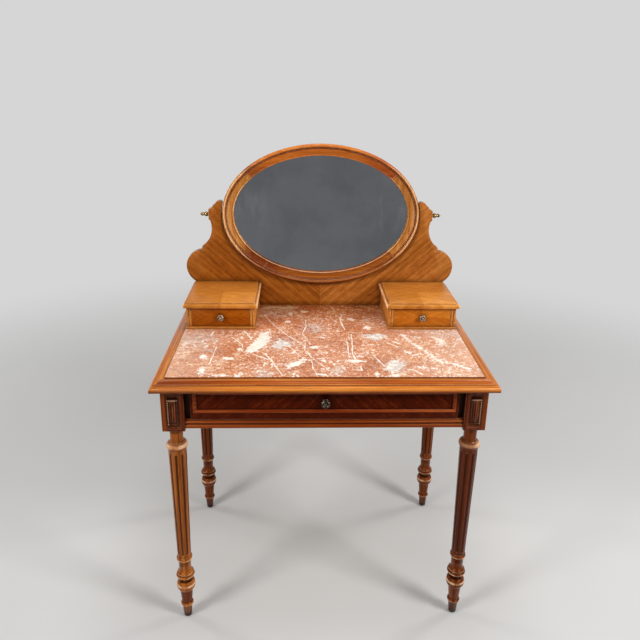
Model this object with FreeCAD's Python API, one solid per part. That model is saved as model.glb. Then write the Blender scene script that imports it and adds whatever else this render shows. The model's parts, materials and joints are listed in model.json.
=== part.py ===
import FreeCAD, Part
import math
import os

V = FreeCAD.Vector
ORIGIN = V(0, 0, 0)
X_AXIS = V(1, 0, 0)
Y_AXIS = V(0, 1, 0)
Z_AXIS = V(0, 0, 1)
FULL_TURN = 360.0

# All lengths are millimetres. X is to the right, Y to the back, Z up, and the floor is z = 0.

# Whole table
TABLE_HEIGHT = 750.0          # floor to marble surface
TOP_WIDTH = 842.0
TOP_DEPTH = 550.0

# Clearances
CUT_OVERRUN = 5.0             # how far a cutting solid runs past the face it opens
JOINT_CLEARANCE = 0.1         # tenon in mortise, screw in hole
RUN_CLEARANCE = 0.05          # radial, pin in its bush
SLIDE_CLEARANCE = 0.3         # drawer over its runner, finial beside the upright
DRAWER_GAP = 1.0              # visible gap round a drawer front

# Top frame and marble
MARBLE_THICKNESS = 20.0
MARBLE_PROUD = 3.0            # marble above the inner edge of the wooden frame
MARBLE_ROUND = 1.5
TOP_DROP = 27.5               # marble surface to the underside of the frame
MOULDING_WIDTH = 33.0         # wood outside the marble's edge
LEDGE_WIDTH = 14.0            # wood under the marble's edge
INNER_FLAT = 11.0
COVE_WIDTH = 9.5
COVE_DROP = 6.5
COVE_SAG = 1.8
COVE_FILLET = 2.0
QUIRK_DEPTH = 2.5
OVOLO_DROP = 8.0
OVOLO_SAG = 2.6
REAR_BAR_DEPTH = 26.5         # behind the backboard's front face

# Legs
LEG_BLOCK = 56.0
LEG_BLOCK_HEIGHT = 118.5
LEG_SIDE_INSET = 20.5         # edge of the top to the block's outer face
LEG_FRONT_INSET = 26.0
LEG_REAR_INSET = 8.5
GLIDE_HEIGHT = 4.0
GLIDE_RADIUS = 8.5
GLIDE_DOME = 2.5
FOOT_HEIGHT = 36.0
FOOT_TIP_RADIUS = 10.5
FOOT_RADIUS = 13.2
ANKLE_HEIGHT = 11.0
ANKLE_SEAT_RADIUS = 14.5
ANKLE_RADIUS = 17.3
COLUMN_HEIGHT = 42.0
COLUMN_FOOT_RADIUS = 13.8
COLUMN_RADIUS = 17.3
KNOP_HEIGHT = 34.0
KNOP_RADIUS = 26.0
KNOP_SEAT_RADIUS = 19.0
WAIST_HEIGHT = 12.0
WAIST_RADIUS = 15.0
RING_HEIGHT = 10.0
RING_SEAT_RADIUS = 21.0
RING_RADIUS = 24.7
RING_FILLET_HEIGHT = 4.0
RING_FILLET_RADIUS = 22.0
BELL_HEIGHT = 18.0
BELL_SAG = 2.5
BELL_NECK_RADIUS = 16.2
BELL_NECK_HEIGHT = 21.0
BEAD_HEIGHT = 15.0
BEAD_SEAT_RADIUS = 18.3
BEAD_RADIUS = 21.0
SHAFT_FOOT_RADIUS = 17.8
SHAFT_TOP_RADIUS = 23.3
TORUS_HEIGHT = 16.0
TORUS_SEAT_RADIUS = 22.0
TORUS_RADIUS = 27.2
COLLAR_HEIGHT = 3.0
COLLAR_RADIUS = 18.7
NECK_HEIGHT = 42.0
NECK_RADIUS = 16.6
NECK_TOP_RADIUS = 17.6
NECK_SAG = 0.6
FLUTE_COUNT = 9
FLUTE_TOP_RADIUS = 2.8
FLUTE_FOOT_RADIUS = 2.2
FLUTE_TOP_MARGIN = 13.7
FLUTE_FOOT_MARGIN = 13.2
RIGHT_FLUTE_TURN = 15.0       # degrees, from a flute that faces the front
LEFT_FLUTE_TURN = 0.0

# Panels and carved tablets of the front leg blocks
PANEL_WIDTH = 36.0
PANEL_TOP_MARGIN = 17.0
PANEL_FOOT_MARGIN = 7.0
PANEL_STEP_WIDTH = 3.5
PANEL_STEP_DEPTH = 1.2
PANEL_DEPTH = 3.0
TABLET_WIDTH = 27.0
TABLET_HEIGHT = 70.0
TABLET_FOOT_MARGIN = 18.0
TABLET_THICKNESS = 5.0
TABLET_REEDS = 3
TABLET_BORDER = 3.0
TABLET_REED_SAG = 1.4

# Aprons and front rails
APRON_HEIGHT = 112.0
APRON_THICKNESS = 20.0
APRON_INSET = 6.0             # apron's face behind the block's face
TENON_LENGTH = 20.0
TENON_SHOULDER = 20.0         # apron above and below its tenon
TENON_CHEEK = 5.0             # apron on each side of its tenon
RAIL_HEIGHT = 24.0
RAIL_SETBACK = 2.0
RAIL_BAND_HEIGHT = 10.8
RAIL_BAND_SAG = 1.8
RAIL_GROOVE_HEIGHT = 3.0
RAIL_GROOVE_DEPTH = 4.0
RAIL_BEAD_HEIGHT = 6.5
RAIL_BEAD_SAG = 2.0
RAIL_TOP_SETBACK = 5.0
RAIL_TENON_MARGIN = 4.0
TOP_RAIL_HEIGHT = 18.0
STILE_WIDTH = 13.5
STILE_SETBACK = 14.0

# Main drawer
DRAWER_SETBACK = 5.0          # drawer front behind the block's face
DRAWER_FRONT_THICKNESS = 18.0
DRAWER_SIDE_THICKNESS = 12.0
DRAWER_SIDE_INSET = 4.0       # drawer side inside the end of the front
DRAWER_BACK_GAP = 46.5        # drawer's back to the rear apron
DRAWER_SIDE_HEIGHT = 64.0
DRAWER_BOTTOM_THICKNESS = 6.0
DRAWER_BOTTOM_RAISE = 8.0
GROOVE_DEPTH = 5.0
RUNNER_LIP = 16.0             # runner under the drawer side
RUNNER_THICKNESS = 18.0
GUIDE_HEIGHT = 20.0
GUIDE_WIDTH = 16.0
CORNER_BLOCK_WIDTH = 38.0
CORNER_BLOCK_LENGTH = 40.0
CORNER_BLOCK_HEIGHT = 25.0
STRIP_WIDTH = 9.0             # applied bead strip on the drawer front
STRIP_THICKNESS = 2.0
STRIP_SAG = 2.2
STRIP_SIDE_MARGIN = 6.5
STRIP_FOOT_MARGIN = 18.0
STRIP_TOP_MARGIN = 9.0

# Knobs
KNOB_RADIUS = 12.0
SMALL_KNOB_RADIUS = 9.8
KNOB_STUD_RADIUS = 2.0
KNOB_STUD_LENGTH = 11.0
# Outline of a knob as shares of its radius: distance from the axis, distance from the drawer front
KNOB_SHARES = ((0.62, 0.0), (0.62, 0.12), (0.34, 0.28), (0.34, 0.62), (0.86, 0.92), (1.0, 1.1),
               (0.94, 1.28), (0.72, 1.36), (0.60, 1.30), (0.36, 1.46), (0.0, 1.55))

# Small drawer boxes
BOX_INSET = 5.0               # marble's side edge to the box's outer side
BOX_WIDTH = 192.4
BOX_DEPTH = 195.5
BOX_BASE_THICKNESS = 7.0
BOX_BASE_OVERHANG = 2.6
BOX_SIDE_THICKNESS = 14.0
BOX_SIDE_HEIGHT = 58.0
BOX_REEDS = 2
BOX_REED_SAG = 2.2
BOX_REED_MARGIN = 1.2
BOX_TOP_EDGE = 11.0           # thickness of the moulded edge of the top
BOX_TOP_FIELD = 3.0           # raised field above that edge
BOX_TOP_OVERHANG = 8.0
BOX_TOP_BORDER = 8.5          # width of the moulded edge
BOX_TOP_ROUND = 4.5
SMALL_FRONT_THICKNESS = 14.0
SMALL_FRONT_SETBACK = 2.0
SMALL_SIDE_THICKNESS = 8.0
SMALL_SIDE_HEIGHT = 46.0
SMALL_BOTTOM_THICKNESS = 4.0
SMALL_BOTTOM_RAISE = 5.0
SMALL_GROOVE_DEPTH = 3.0
SMALL_BACK_GAP = 6.0          # small drawer's back to the backboard

# Backboard
BOARD_THICKNESS = 20.0
NOTCH_GAP = 2.5               # mirror frame to the board
UPRIGHT_WIDTH = 38.0
UPRIGHT_WAIST = 29.8
WAIST_DROP = 41.5             # waist below the mirror's axis
WAIST_TOP_DROP = 19.0
WAIST_TOP_WIDTH = 33.0
CHEEK_BELOW = 13.5
CHEEK_ABOVE = 15.5
TIP_RISE = 42.0               # tip of the upright above the mirror's axis
TIP_OUT = 4.5                 # highest point of the tip outside the notch
TIP_SAG = 2.5
TIP_INNER_DROP = 5.0          # tip's inner end below its highest point
TIP_INNER_IN = 4.5            # that end inside the notch, where the notch trims it
TIP_INNER_SAG = 1.5
HEAD_STEP_SAG = 0.9
# Stepped outline between tip and cheek: shares of the way out, and of the way down
HEAD_STEP_SHARES = ((0.46, 0.45), (0.55, 0.50), (0.70, 0.83))
SHOULDER_OUT = 61.0           # shoulder outside the notch
SHOULDER_HEIGHT = 188.5       # above the marble
SHOULDER_STEP = 11.0
SHOULDER_STEP_OUT = 1.6
LOBE_OUT = 111.0              # widest point of the lobe, outside the notch
LOBE_HEIGHT = 126.5

# Mirror
MIRROR_AXIS_HEIGHT = 287.5    # pivot axis above the marble
SIGHT_HALF_WIDTH = 262.5      # visible glass
SIGHT_HALF_HEIGHT = 176.0
MIRROR_FACE_WIDTH = 34.5      # frame from the glass to its outer edge
MIRROR_TILT = 4.0             # degrees at rest, upper edge to the back
MIRROR_THICKNESS = 26.0
MIRROR_PROUD = 6.0            # frame in front of the board
MIRROR_REBATE_WIDTH = 8.0
MIRROR_REBATE_DEPTH = 10.0
OUTER_BEAD_RADIUS = 5.3
INNER_BEAD_RADIUS = 2.2
INNER_BEAD_BACK = 9.0         # inner bead behind the frame's front
BAND_FRONT = 4.2              # sloped band's outer edge behind the frame's front
FRAME_GROOVE_WIDTH = 1.4
FRAME_GROOVE_DEPTH = 2.2
BEAD_FACETS = 6
FRAME_JOINT_DEGREES = (38.0, 142.0, 233.0, 322.0)
GLASS_THICKNESS = 5.0
BEVEL_WIDTH = 24.0
BEVEL_DEPTH = 1.2
CLIP_COUNT = 6
CLIP_LENGTH = 24.0
CLIP_WIDTH = 9.0
CLIP_THICKNESS = 1.2
CLIP_HEAD_RADIUS = 3.0
CLIP_HEAD_HEIGHT = 1.6

# Pivots
PIN_RADIUS = 4.0
PIN_EMBED = 18.0              # pin inside the mirror frame
PIN_COLLAR_RADIUS = 7.0
PIN_REACH = 12.0              # pin beyond the upright, inside the finial
BUSH_RADIUS = 6.0
FINIAL_LENGTH = 25.5
# Outline of a finial: shares of its radius and of its length, from the upright outwards
FINIAL_RADIUS = 7.2
FINIAL_SHARES = ((0.78, 0.0), (0.78, 0.14), (1.0, 0.22), (1.0, 0.40), (0.80, 0.52), (0.62, 0.58),
                 (0.78, 0.68), (0.72, 0.80), (0.36, 0.90), (0.28, 0.96), (0.0, 1.0))

# Screws
SCREW_RADIUS = 2.0
SCREW_HEAD_RADIUS = 4.0
SCREW_HEAD_HEIGHT = 3.0
TOP_SCREW_BITE = 5.5          # screw tip inside the panel under the marble
BOARD_SCREW_BITE = 30.0
BOX_SCREW_BITE = 25.0
BOARD_SCREW_SHARES = (-0.75, -0.25, 0.25, 0.75)
BOX_SCREW_SHARES = (0.25, 0.75)

# Places worked out from the sizes above
front_y = -TOP_DEPTH / 2
back_y = TOP_DEPTH / 2
half_width = TOP_WIDTH / 2
top_under = TABLE_HEIGHT - TOP_DROP
ledge_z = TABLE_HEIGHT - MARBLE_THICKNESS
frame_top = TABLE_HEIGHT - MARBLE_PROUD
marble_half = half_width - MOULDING_WIDTH
marble_front = front_y + MOULDING_WIDTH
board_front = back_y - REAR_BAR_DEPTH
board_back = board_front + BOARD_THICKNESS
board_middle = (board_front + board_back) / 2
bed_half = marble_half - LEDGE_WIDTH
bed_front = marble_front + LEDGE_WIDTH
bed_back = board_front - LEDGE_WIDTH

leg_x = half_width - LEG_SIDE_INSET - LEG_BLOCK / 2
front_leg_y = front_y + LEG_FRONT_INSET + LEG_BLOCK / 2
rear_leg_y = back_y - LEG_REAR_INSET - LEG_BLOCK / 2
block_foot = top_under - LEG_BLOCK_HEIGHT
block_inner = leg_x - LEG_BLOCK / 2
block_outer = leg_x + LEG_BLOCK / 2
block_front = front_leg_y - LEG_BLOCK / 2
front_leg_back = front_leg_y + LEG_BLOCK / 2
rear_leg_front = rear_leg_y - LEG_BLOCK / 2

apron_foot = top_under - APRON_HEIGHT
apron_outer = block_outer - APRON_INSET
apron_inner = apron_outer - APRON_THICKNESS
rear_apron_back = rear_leg_y + LEG_BLOCK / 2 - APRON_INSET
rear_apron_front = rear_apron_back - APRON_THICKNESS
rail_front = block_front + RAIL_SETBACK
rail_top = apron_foot + RAIL_HEIGHT

drawer_half = block_inner - STILE_WIDTH - DRAWER_GAP
drawer_front = block_front + DRAWER_SETBACK
drawer_inside = drawer_front + DRAWER_FRONT_THICKNESS
drawer_foot = rail_top + DRAWER_GAP
drawer_head = top_under - DRAWER_GAP
drawer_end = rear_apron_front - DRAWER_BACK_GAP
drawer_side_x = drawer_half - DRAWER_SIDE_INSET
top_rail_front = drawer_inside + SLIDE_CLEARANCE
strip_foot = drawer_foot + STRIP_FOOT_MARGIN
strip_head = drawer_head - STRIP_TOP_MARGIN
strip_half = drawer_half - STRIP_SIDE_MARGIN
runner_top = drawer_foot - SLIDE_CLEARANCE

box_outer = marble_half - BOX_INSET
box_inner = box_outer - BOX_WIDTH
box_front = board_front - BOX_DEPTH
box_floor = TABLE_HEIGHT + BOX_BASE_THICKNESS
box_ceiling = box_floor + BOX_SIDE_HEIGHT
box_top = box_ceiling + BOX_TOP_EDGE + BOX_TOP_FIELD
box_middle = (box_outer + box_inner) / 2
small_half = BOX_WIDTH / 2 - BOX_SIDE_THICKNESS - DRAWER_GAP
small_front = box_front + SMALL_FRONT_SETBACK
small_inside = small_front + SMALL_FRONT_THICKNESS
small_foot = box_floor + SLIDE_CLEARANCE
small_end = board_front - SMALL_BACK_GAP

axis_z = TABLE_HEIGHT + MIRROR_AXIS_HEIGHT
axis_y = board_middle
mirror_half = SIGHT_HALF_WIDTH + MIRROR_FACE_WIDTH
mirror_rise = SIGHT_HALF_HEIGHT + MIRROR_FACE_WIDTH
mirror_front = board_front - MIRROR_PROUD
mirror_back = mirror_front + MIRROR_THICKNESS
rebate_y = mirror_back - MIRROR_REBATE_DEPTH
notch_half = mirror_half + NOTCH_GAP
upright_outer = notch_half + UPRIGHT_WIDTH


def box(x0, x1, y0, y1, z0, z1):
    """Block between two x, two y and two z values."""
    return Part.makeBox(x1 - x0, y1 - y0, z1 - z0, V(x0, y0, z0))


def grown_box(x0, x1, y0, y1, z0, z1, by=JOINT_CLEARANCE):
    """The same block, larger by a clearance on every side."""
    return box(x0 - by, x1 + by, y0 - by, y1 + by, z0 - by, z1 + by)


def rod(start, direction, radius, length):
    """Round bar from a start point along a direction."""
    return Part.makeCylinder(radius, length, start, direction)


def mirrored(shape):
    """The same shape on the other side of the middle plane."""
    return shape.mirror(ORIGIN, X_AXIS)


def bulge_point(start, end, sag):
    """Middle of an arc from start to end that bulges by sag to the right of the way."""
    along = end - start
    right = V(along.y, -along.x, 0)
    right.normalize()
    return (start + end) / 2 + right * sag


def face_of(corners):
    """Flat face. A corner is (u, v), or (u, v, sag) where an arc leads on to the next corner."""
    points = [V(corner[0], corner[1], 0) for corner in corners]
    edges = []
    for index, corner in enumerate(corners):
        start = points[index]
        end = points[(index + 1) % len(points)]
        if len(corner) > 2:
            edge = Part.Arc(start, bulge_point(start, end, corner[2]), end).toShape()
        else:
            edge = Part.LineSegment(start, end).toShape()
        edges.append(edge)
    return Part.Face(Part.Wire(edges))


def placed(shape, origin, u_axis, v_axis):
    """Shape with its own x and y turned to u_axis and v_axis, and its origin moved."""
    turn = FreeCAD.Rotation(u_axis, v_axis, u_axis.cross(v_axis), "XYZ")
    shape.Placement = FreeCAD.Placement(origin, turn)
    return shape


def prism(corners, origin, u_axis, v_axis, length):
    """Outline in u and v, drawn out along u cross v."""
    return placed(face_of(corners).extrude(Z_AXIS * length), origin, u_axis, v_axis)


def turned(corners, origin, axis):
    """Turned solid. Corners give the radius and the height along the axis."""
    radial = X_AXIS if abs(axis.z) > abs(axis.x) else Z_AXIS
    face = placed(face_of(corners), origin, radial, axis)
    return face.revolve(origin, axis, FULL_TURN)


def screw(head, direction, length):
    """Screw whose head face lies at a point, pointing along a direction."""
    shank = rod(head, direction, SCREW_RADIUS, length)
    return rod(head, direction, SCREW_HEAD_RADIUS, SCREW_HEAD_HEIGHT).fuse(shank).removeSplitter()


def screw_hole(head, direction, length):
    """Hole for a screw, with a clearance all round and open at the head."""
    start = head - direction * CUT_OVERRUN
    depth = length + JOINT_CLEARANCE + CUT_OVERRUN
    sink = SCREW_HEAD_HEIGHT + JOINT_CLEARANCE + CUT_OVERRUN
    shank = rod(start, direction, SCREW_RADIUS + JOINT_CLEARANCE, depth)
    return rod(start, direction, SCREW_HEAD_RADIUS + JOINT_CLEARANCE, sink).fuse(shank)


def leg_profile():
    """Turned outline of a leg from the foot up into the block."""
    height = GLIDE_HEIGHT
    corners = [(0, height), (FOOT_TIP_RADIUS, height)]
    height += FOOT_HEIGHT
    corners.append((FOOT_RADIUS, height))
    corners.append((ANKLE_SEAT_RADIUS, height, ANKLE_RADIUS - ANKLE_SEAT_RADIUS))
    height += ANKLE_HEIGHT
    corners.append((ANKLE_SEAT_RADIUS, height))
    corners.append((COLUMN_FOOT_RADIUS, height))
    height += COLUMN_HEIGHT
    corners.append((COLUMN_RADIUS, height, KNOP_RADIUS - KNOP_SEAT_RADIUS))
    height += KNOP_HEIGHT
    corners.append((KNOP_SEAT_RADIUS, height))
    corners.append((WAIST_RADIUS, height))
    height += WAIST_HEIGHT
    corners.append((WAIST_RADIUS, height))
    corners.append((RING_SEAT_RADIUS, height, RING_RADIUS - RING_SEAT_RADIUS))
    height += RING_HEIGHT
    corners.append((RING_SEAT_RADIUS, height))
    corners.append((RING_FILLET_RADIUS, height))
    height += RING_FILLET_HEIGHT
    corners.append((RING_FILLET_RADIUS, height, -BELL_SAG))
    height += BELL_HEIGHT
    corners.append((BELL_NECK_RADIUS, height))
    height += BELL_NECK_HEIGHT
    corners.append((BELL_NECK_RADIUS, height))
    corners.append((BEAD_SEAT_RADIUS, height, BEAD_RADIUS - BEAD_SEAT_RADIUS))
    height += BEAD_HEIGHT
    corners.append((BEAD_SEAT_RADIUS, height))
    corners.append((SHAFT_FOOT_RADIUS, height))
    torus_foot = block_foot - NECK_HEIGHT - COLLAR_HEIGHT - TORUS_HEIGHT
    corners.append((SHAFT_TOP_RADIUS, torus_foot))
    corners.append((TORUS_SEAT_RADIUS, torus_foot, TORUS_RADIUS - TORUS_SEAT_RADIUS))
    corners.append((TORUS_SEAT_RADIUS, torus_foot + TORUS_HEIGHT))
    corners.append((COLLAR_RADIUS, torus_foot + TORUS_HEIGHT))
    corners.append((COLLAR_RADIUS, block_foot - NECK_HEIGHT))
    corners.append((NECK_RADIUS, block_foot - NECK_HEIGHT, -NECK_SAG))
    corners.append((NECK_TOP_RADIUS, block_foot))
    corners.append((NECK_TOP_RADIUS, block_foot + CUT_OVERRUN))
    corners.append((0, block_foot + CUT_OVERRUN))
    return corners, height, torus_foot


def flute_cutter(shaft_foot, shaft_top, angle):
    """Round-ended tapered bar that cuts one flute, at an angle round the leg."""
    rise = shaft_top - shaft_foot
    slope = (SHAFT_TOP_RADIUS - SHAFT_FOOT_RADIUS) / rise
    low = shaft_foot + FLUTE_FOOT_MARGIN
    high = shaft_top - FLUTE_TOP_MARGIN
    low_point = V(SHAFT_FOOT_RADIUS + slope * FLUTE_FOOT_MARGIN, 0, low)
    high_point = V(SHAFT_TOP_RADIUS - slope * FLUTE_TOP_MARGIN, 0, high)
    axis = high_point - low_point
    length = axis.Length
    axis.normalize()
    diagonal = math.sin(math.pi / 4)
    low_sag = FLUTE_FOOT_RADIUS * (1 - diagonal)
    high_sag = FLUTE_TOP_RADIUS * (1 - diagonal)
    corners = [(0, -FLUTE_FOOT_RADIUS, low_sag), (FLUTE_FOOT_RADIUS, 0),
               (FLUTE_TOP_RADIUS, length, high_sag), (0, length + FLUTE_TOP_RADIUS)]
    outward = Y_AXIS.cross(axis)
    face = placed(face_of(corners), low_point, outward, axis)
    cutter = face.revolve(low_point, axis, FULL_TURN)
    cutter.rotate(ORIGIN, Z_AXIS, angle)
    return cutter


def turned_leg(turn):
    """Leg below the block, standing on the origin, its first flute turned away from the front."""
    corners, shaft_foot, shaft_top = leg_profile()
    shaft = turned(corners, ORIGIN, Z_AXIS)
    step = FULL_TURN / FLUTE_COUNT
    cutters = [flute_cutter(shaft_foot, shaft_top, step * k + step / 2) for k in range(FLUTE_COUNT)]
    leg = shaft.cut(cutters)
    leg.rotate(ORIGIN, Z_AXIS, turn - FULL_TURN / 4 - step / 2)
    return leg


def panel_recess(face_point, u_axis):
    """Stepped recess in a block's face. The point is the middle of the face's lower edge."""
    height = LEG_BLOCK_HEIGHT - PANEL_TOP_MARGIN - PANEL_FOOT_MARGIN
    half = PANEL_WIDTH / 2
    inner = half - PANEL_STEP_WIDTH
    foot = PANEL_FOOT_MARGIN
    inner_foot = foot + PANEL_STEP_WIDTH
    inner_head = foot + height - PANEL_STEP_WIDTH
    outer = [(-half, foot), (half, foot), (half, foot + height), (-half, foot + height)]
    field = [(-inner, inner_foot), (inner, inner_foot), (inner, inner_head), (-inner, inner_head)]
    out = u_axis.cross(Z_AXIS)
    step = prism(outer, face_point - out * PANEL_STEP_DEPTH, u_axis, Z_AXIS, PANEL_STEP_DEPTH + CUT_OVERRUN)
    deep = prism(field, face_point - out * PANEL_DEPTH, u_axis, Z_AXIS, PANEL_DEPTH + CUT_OVERRUN)
    return step.fuse(deep)


def tablet(face_point, u_axis):
    """Reeded tablet that lies in a panel recess."""
    half = TABLET_WIDTH / 2
    reed = (TABLET_WIDTH - TABLET_BORDER * 2) / TABLET_REEDS
    corners = [(-half, 0), (half, 0), (half, TABLET_THICKNESS)]
    for k in range(TABLET_REEDS):
        corners.append((half - TABLET_BORDER - reed * k, TABLET_THICKNESS, TABLET_REED_SAG))
    corners.append((TABLET_BORDER - half, TABLET_THICKNESS))
    corners.append((-half, TABLET_THICKNESS))
    out = u_axis.cross(Z_AXIS)
    head = face_point - out * PANEL_DEPTH + Z_AXIS * (TABLET_FOOT_MARGIN + TABLET_HEIGHT)
    return prism(corners, head, u_axis, out, TABLET_HEIGHT)


def ellipse_arc(outside, y, start, end):
    """Stretch of the oval that lies outside the visible glass by a distance, at a depth y."""
    curve = Part.Ellipse(ORIGIN, SIGHT_HALF_WIDTH + outside, SIGHT_HALF_HEIGHT + outside)
    return placed(curve.toShape(start, end), V(0, y, axis_z), X_AXIS, Z_AXIS)


def oval_plate(outside, y0, y1):
    """Oval plate between two depths, larger than the visible glass by a distance."""
    outline = Part.Wire([ellipse_arc(outside, y0, 0, math.pi * 2)])
    return Part.Face(outline).extrude(Y_AXIS * (y1 - y0))


def oval_point(outside, y, angle):
    """Point of the oval at an angle of its own parameter."""
    x = (SIGHT_HALF_WIDTH + outside) * math.cos(angle)
    z = (SIGHT_HALF_HEIGHT + outside) * math.sin(angle)
    return V(x, y, axis_z + z)


def bead_points(middle, back, radius):
    """Half-round bead across the frame's face, from its inner to its outer side."""
    points = []
    for k in range(BEAD_FACETS + 1):
        angle = math.pi * (1 - k / BEAD_FACETS)
        points.append((middle + radius * math.cos(angle), mirror_front + back - radius * math.sin(angle)))
    return points


def mirror_section():
    """Section of the mirror frame: distance outside the glass, and depth y."""
    groove_end = MIRROR_FACE_WIDTH - OUTER_BEAD_RADIUS * 2
    groove_start = groove_end - FRAME_GROOVE_WIDTH
    band_start = INNER_BEAD_RADIUS * 2
    groove_y = mirror_front + BAND_FRONT + FRAME_GROOVE_DEPTH
    points = bead_points(INNER_BEAD_RADIUS, INNER_BEAD_BACK, INNER_BEAD_RADIUS)
    points.append((band_start + FRAME_GROOVE_WIDTH, mirror_front + INNER_BEAD_BACK))
    points.append((groove_start, mirror_front + BAND_FRONT))
    points.append((groove_start, groove_y))
    points.append((groove_end, groove_y))
    points.extend(bead_points(MIRROR_FACE_WIDTH - OUTER_BEAD_RADIUS, OUTER_BEAD_RADIUS, OUTER_BEAD_RADIUS))
    points.append((MIRROR_FACE_WIDTH, mirror_back))
    points.append((MIRROR_REBATE_WIDTH, mirror_back))
    points.append((MIRROR_REBATE_WIDTH, rebate_y))
    points.append((0, rebate_y))
    return points


def mirror_segment(section, start, end):
    """One stretch of the mirror frame between two angles, closed by two flat ends."""
    faces = []
    for index in range(len(section)):
        near = ellipse_arc(*section[index - 1], start, end)
        far = ellipse_arc(*section[index], start, end)
        faces.append(Part.makeRuledSurface(near, far))
    for angle in (start, end):
        ring = [oval_point(outside, y, angle) for outside, y in section]
        faces.append(Part.Face(Part.makePolygon(ring + ring[:1])))
    shell = Part.Compound(faces)
    shell.sewShape()
    solid = Part.Solid(shell.Shells[0])
    if solid.Volume < 0:
        solid.reverse()
    return solid


def tilted(shape):
    """Piece of the mirror at its rest angle about the pivots."""
    shape.rotate(V(0, axis_y, axis_z), X_AXIS, -MIRROR_TILT)
    return shape


def knob(radius, face_point):
    """Turned knob with its stud, standing out from a drawer front towards the front."""
    corners = [(0, 0)]
    corners.extend((radius * out, radius * reach) for out, reach in KNOB_SHARES)
    head = turned(corners, face_point, -Y_AXIS)
    stud = rod(face_point, Y_AXIS, KNOB_STUD_RADIUS, KNOB_STUD_LENGTH)
    return head.fuse(stud).removeSplitter()


def stud_hole(face_point):
    """Hole in a drawer front for a knob's stud."""
    start = face_point - Y_AXIS * CUT_OVERRUN
    length = KNOB_STUD_LENGTH + JOINT_CLEARANCE + CUT_OVERRUN
    return rod(start, Y_AXIS, KNOB_STUD_RADIUS + JOINT_CLEARANCE, length)


def make_top():
    """Moulded frame, panel under the marble, and marble."""
    drop = MARBLE_PROUD + COVE_DROP
    cove_end = INNER_FLAT + COVE_WIDTH
    ovolo_start = cove_end + COVE_FILLET
    quirk = drop + QUIRK_DEPTH
    corners = [(-LEDGE_WIDTH, -TOP_DROP), (MOULDING_WIDTH, -TOP_DROP),
               (MOULDING_WIDTH, -quirk - OVOLO_DROP, OVOLO_SAG), (ovolo_start, -quirk), (ovolo_start, -drop),
               (cove_end, -drop, -COVE_SAG), (INNER_FLAT, -MARBLE_PROUD), (0, -MARBLE_PROUD),
               (0, -MARBLE_THICKNESS), (-LEDGE_WIDTH, -MARBLE_THICKNESS)]
    reach = MOULDING_WIDTH + LEDGE_WIDTH
    front_corner = V(-half_width, marble_front, TABLE_HEIGHT)
    front = prism(corners, front_corner, -Y_AXIS, Z_AXIS, -TOP_WIDTH)
    front_plan = [(-half_width, front_y), (half_width, front_y),
                  (half_width - reach, front_y + reach), (reach - half_width, front_y + reach)]
    front = front.common(prism(front_plan, ORIGIN, X_AXIS, Y_AXIS, TABLE_HEIGHT))
    right = prism(corners, V(marble_half, back_y, TABLE_HEIGHT), X_AXIS, Z_AXIS, TOP_DEPTH)
    right_plan = [(half_width, front_y), (half_width, back_y),
                  (half_width - reach, back_y), (half_width - reach, front_y + reach)]
    right = right.common(prism(right_plan, ORIGIN, X_AXIS, Y_AXIS, TABLE_HEIGHT))
    right = right.cut(box(-marble_half, marble_half, bed_back, back_y + CUT_OVERRUN,
                          top_under - CUT_OVERRUN, TABLE_HEIGHT))
    rear_corners = [(bed_back, top_under), (back_y, top_under), (back_y, frame_top),
                    (board_front, frame_top), (board_front, ledge_z), (bed_back, ledge_z)]
    rear = prism(rear_corners, V(-marble_half, 0, 0), Y_AXIS, Z_AXIS, marble_half * 2)
    bed = box(-bed_half, bed_half, bed_front, bed_back, top_under, ledge_z)
    marble = box(-marble_half, marble_half, marble_front, board_front, ledge_z, TABLE_HEIGHT)
    upper_edges = [edge for edge in marble.Edges
                   if edge.BoundBox.ZMin > ledge_z and edge.BoundBox.YMin < board_front]
    marble = marble.makeFillet(MARBLE_ROUND, upper_edges)
    return front, right, rear, bed, marble


def make_drawer_strips():
    """Four mitred bead strips round the panel of the main drawer front."""
    inner = STRIP_WIDTH
    section = [(0, 0), (0, STRIP_THICKNESS, -STRIP_SAG), (STRIP_WIDTH, STRIP_THICKNESS), (STRIP_WIDTH, 0)]
    width = strip_half * 2
    height = strip_head - strip_foot
    corner = V(-strip_half, drawer_front, strip_foot)
    strips = []
    for origin, along, inward, length in (
            (corner, X_AXIS, Z_AXIS, width),
            (corner + X_AXIS * width, Z_AXIS, -X_AXIS, height),
            (corner + X_AXIS * width + Z_AXIS * height, -X_AXIS, -Z_AXIS, width),
            (corner + Z_AXIS * height, -Z_AXIS, X_AXIS, height)):
        bar = prism(section, origin, inward, -Y_AXIS, inward.cross(-Y_AXIS).dot(along) * length)
        plan = [(0, 0), (length, 0), (length - inner, inner), (inner, inner)]
        trim = prism(plan, origin, along, inward, along.cross(inward).dot(-Y_AXIS) * CUT_OVERRUN)
        strips.append(bar.common(trim))
    return strips


def lobe_middle(start, end):
    """Middle of an arc from start to end that runs upright at its end."""
    out = end.x - start.x
    rise = abs(start.y - end.y)
    radius = (out * out + rise * rise) / (out * 2)
    centre_x = end.x - radius
    angle = math.asin(rise / radius) / 2
    side = 1 if start.y > end.y else -1
    return V(centre_x + radius * math.cos(angle), end.y + side * radius * math.sin(angle), 0)


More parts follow.
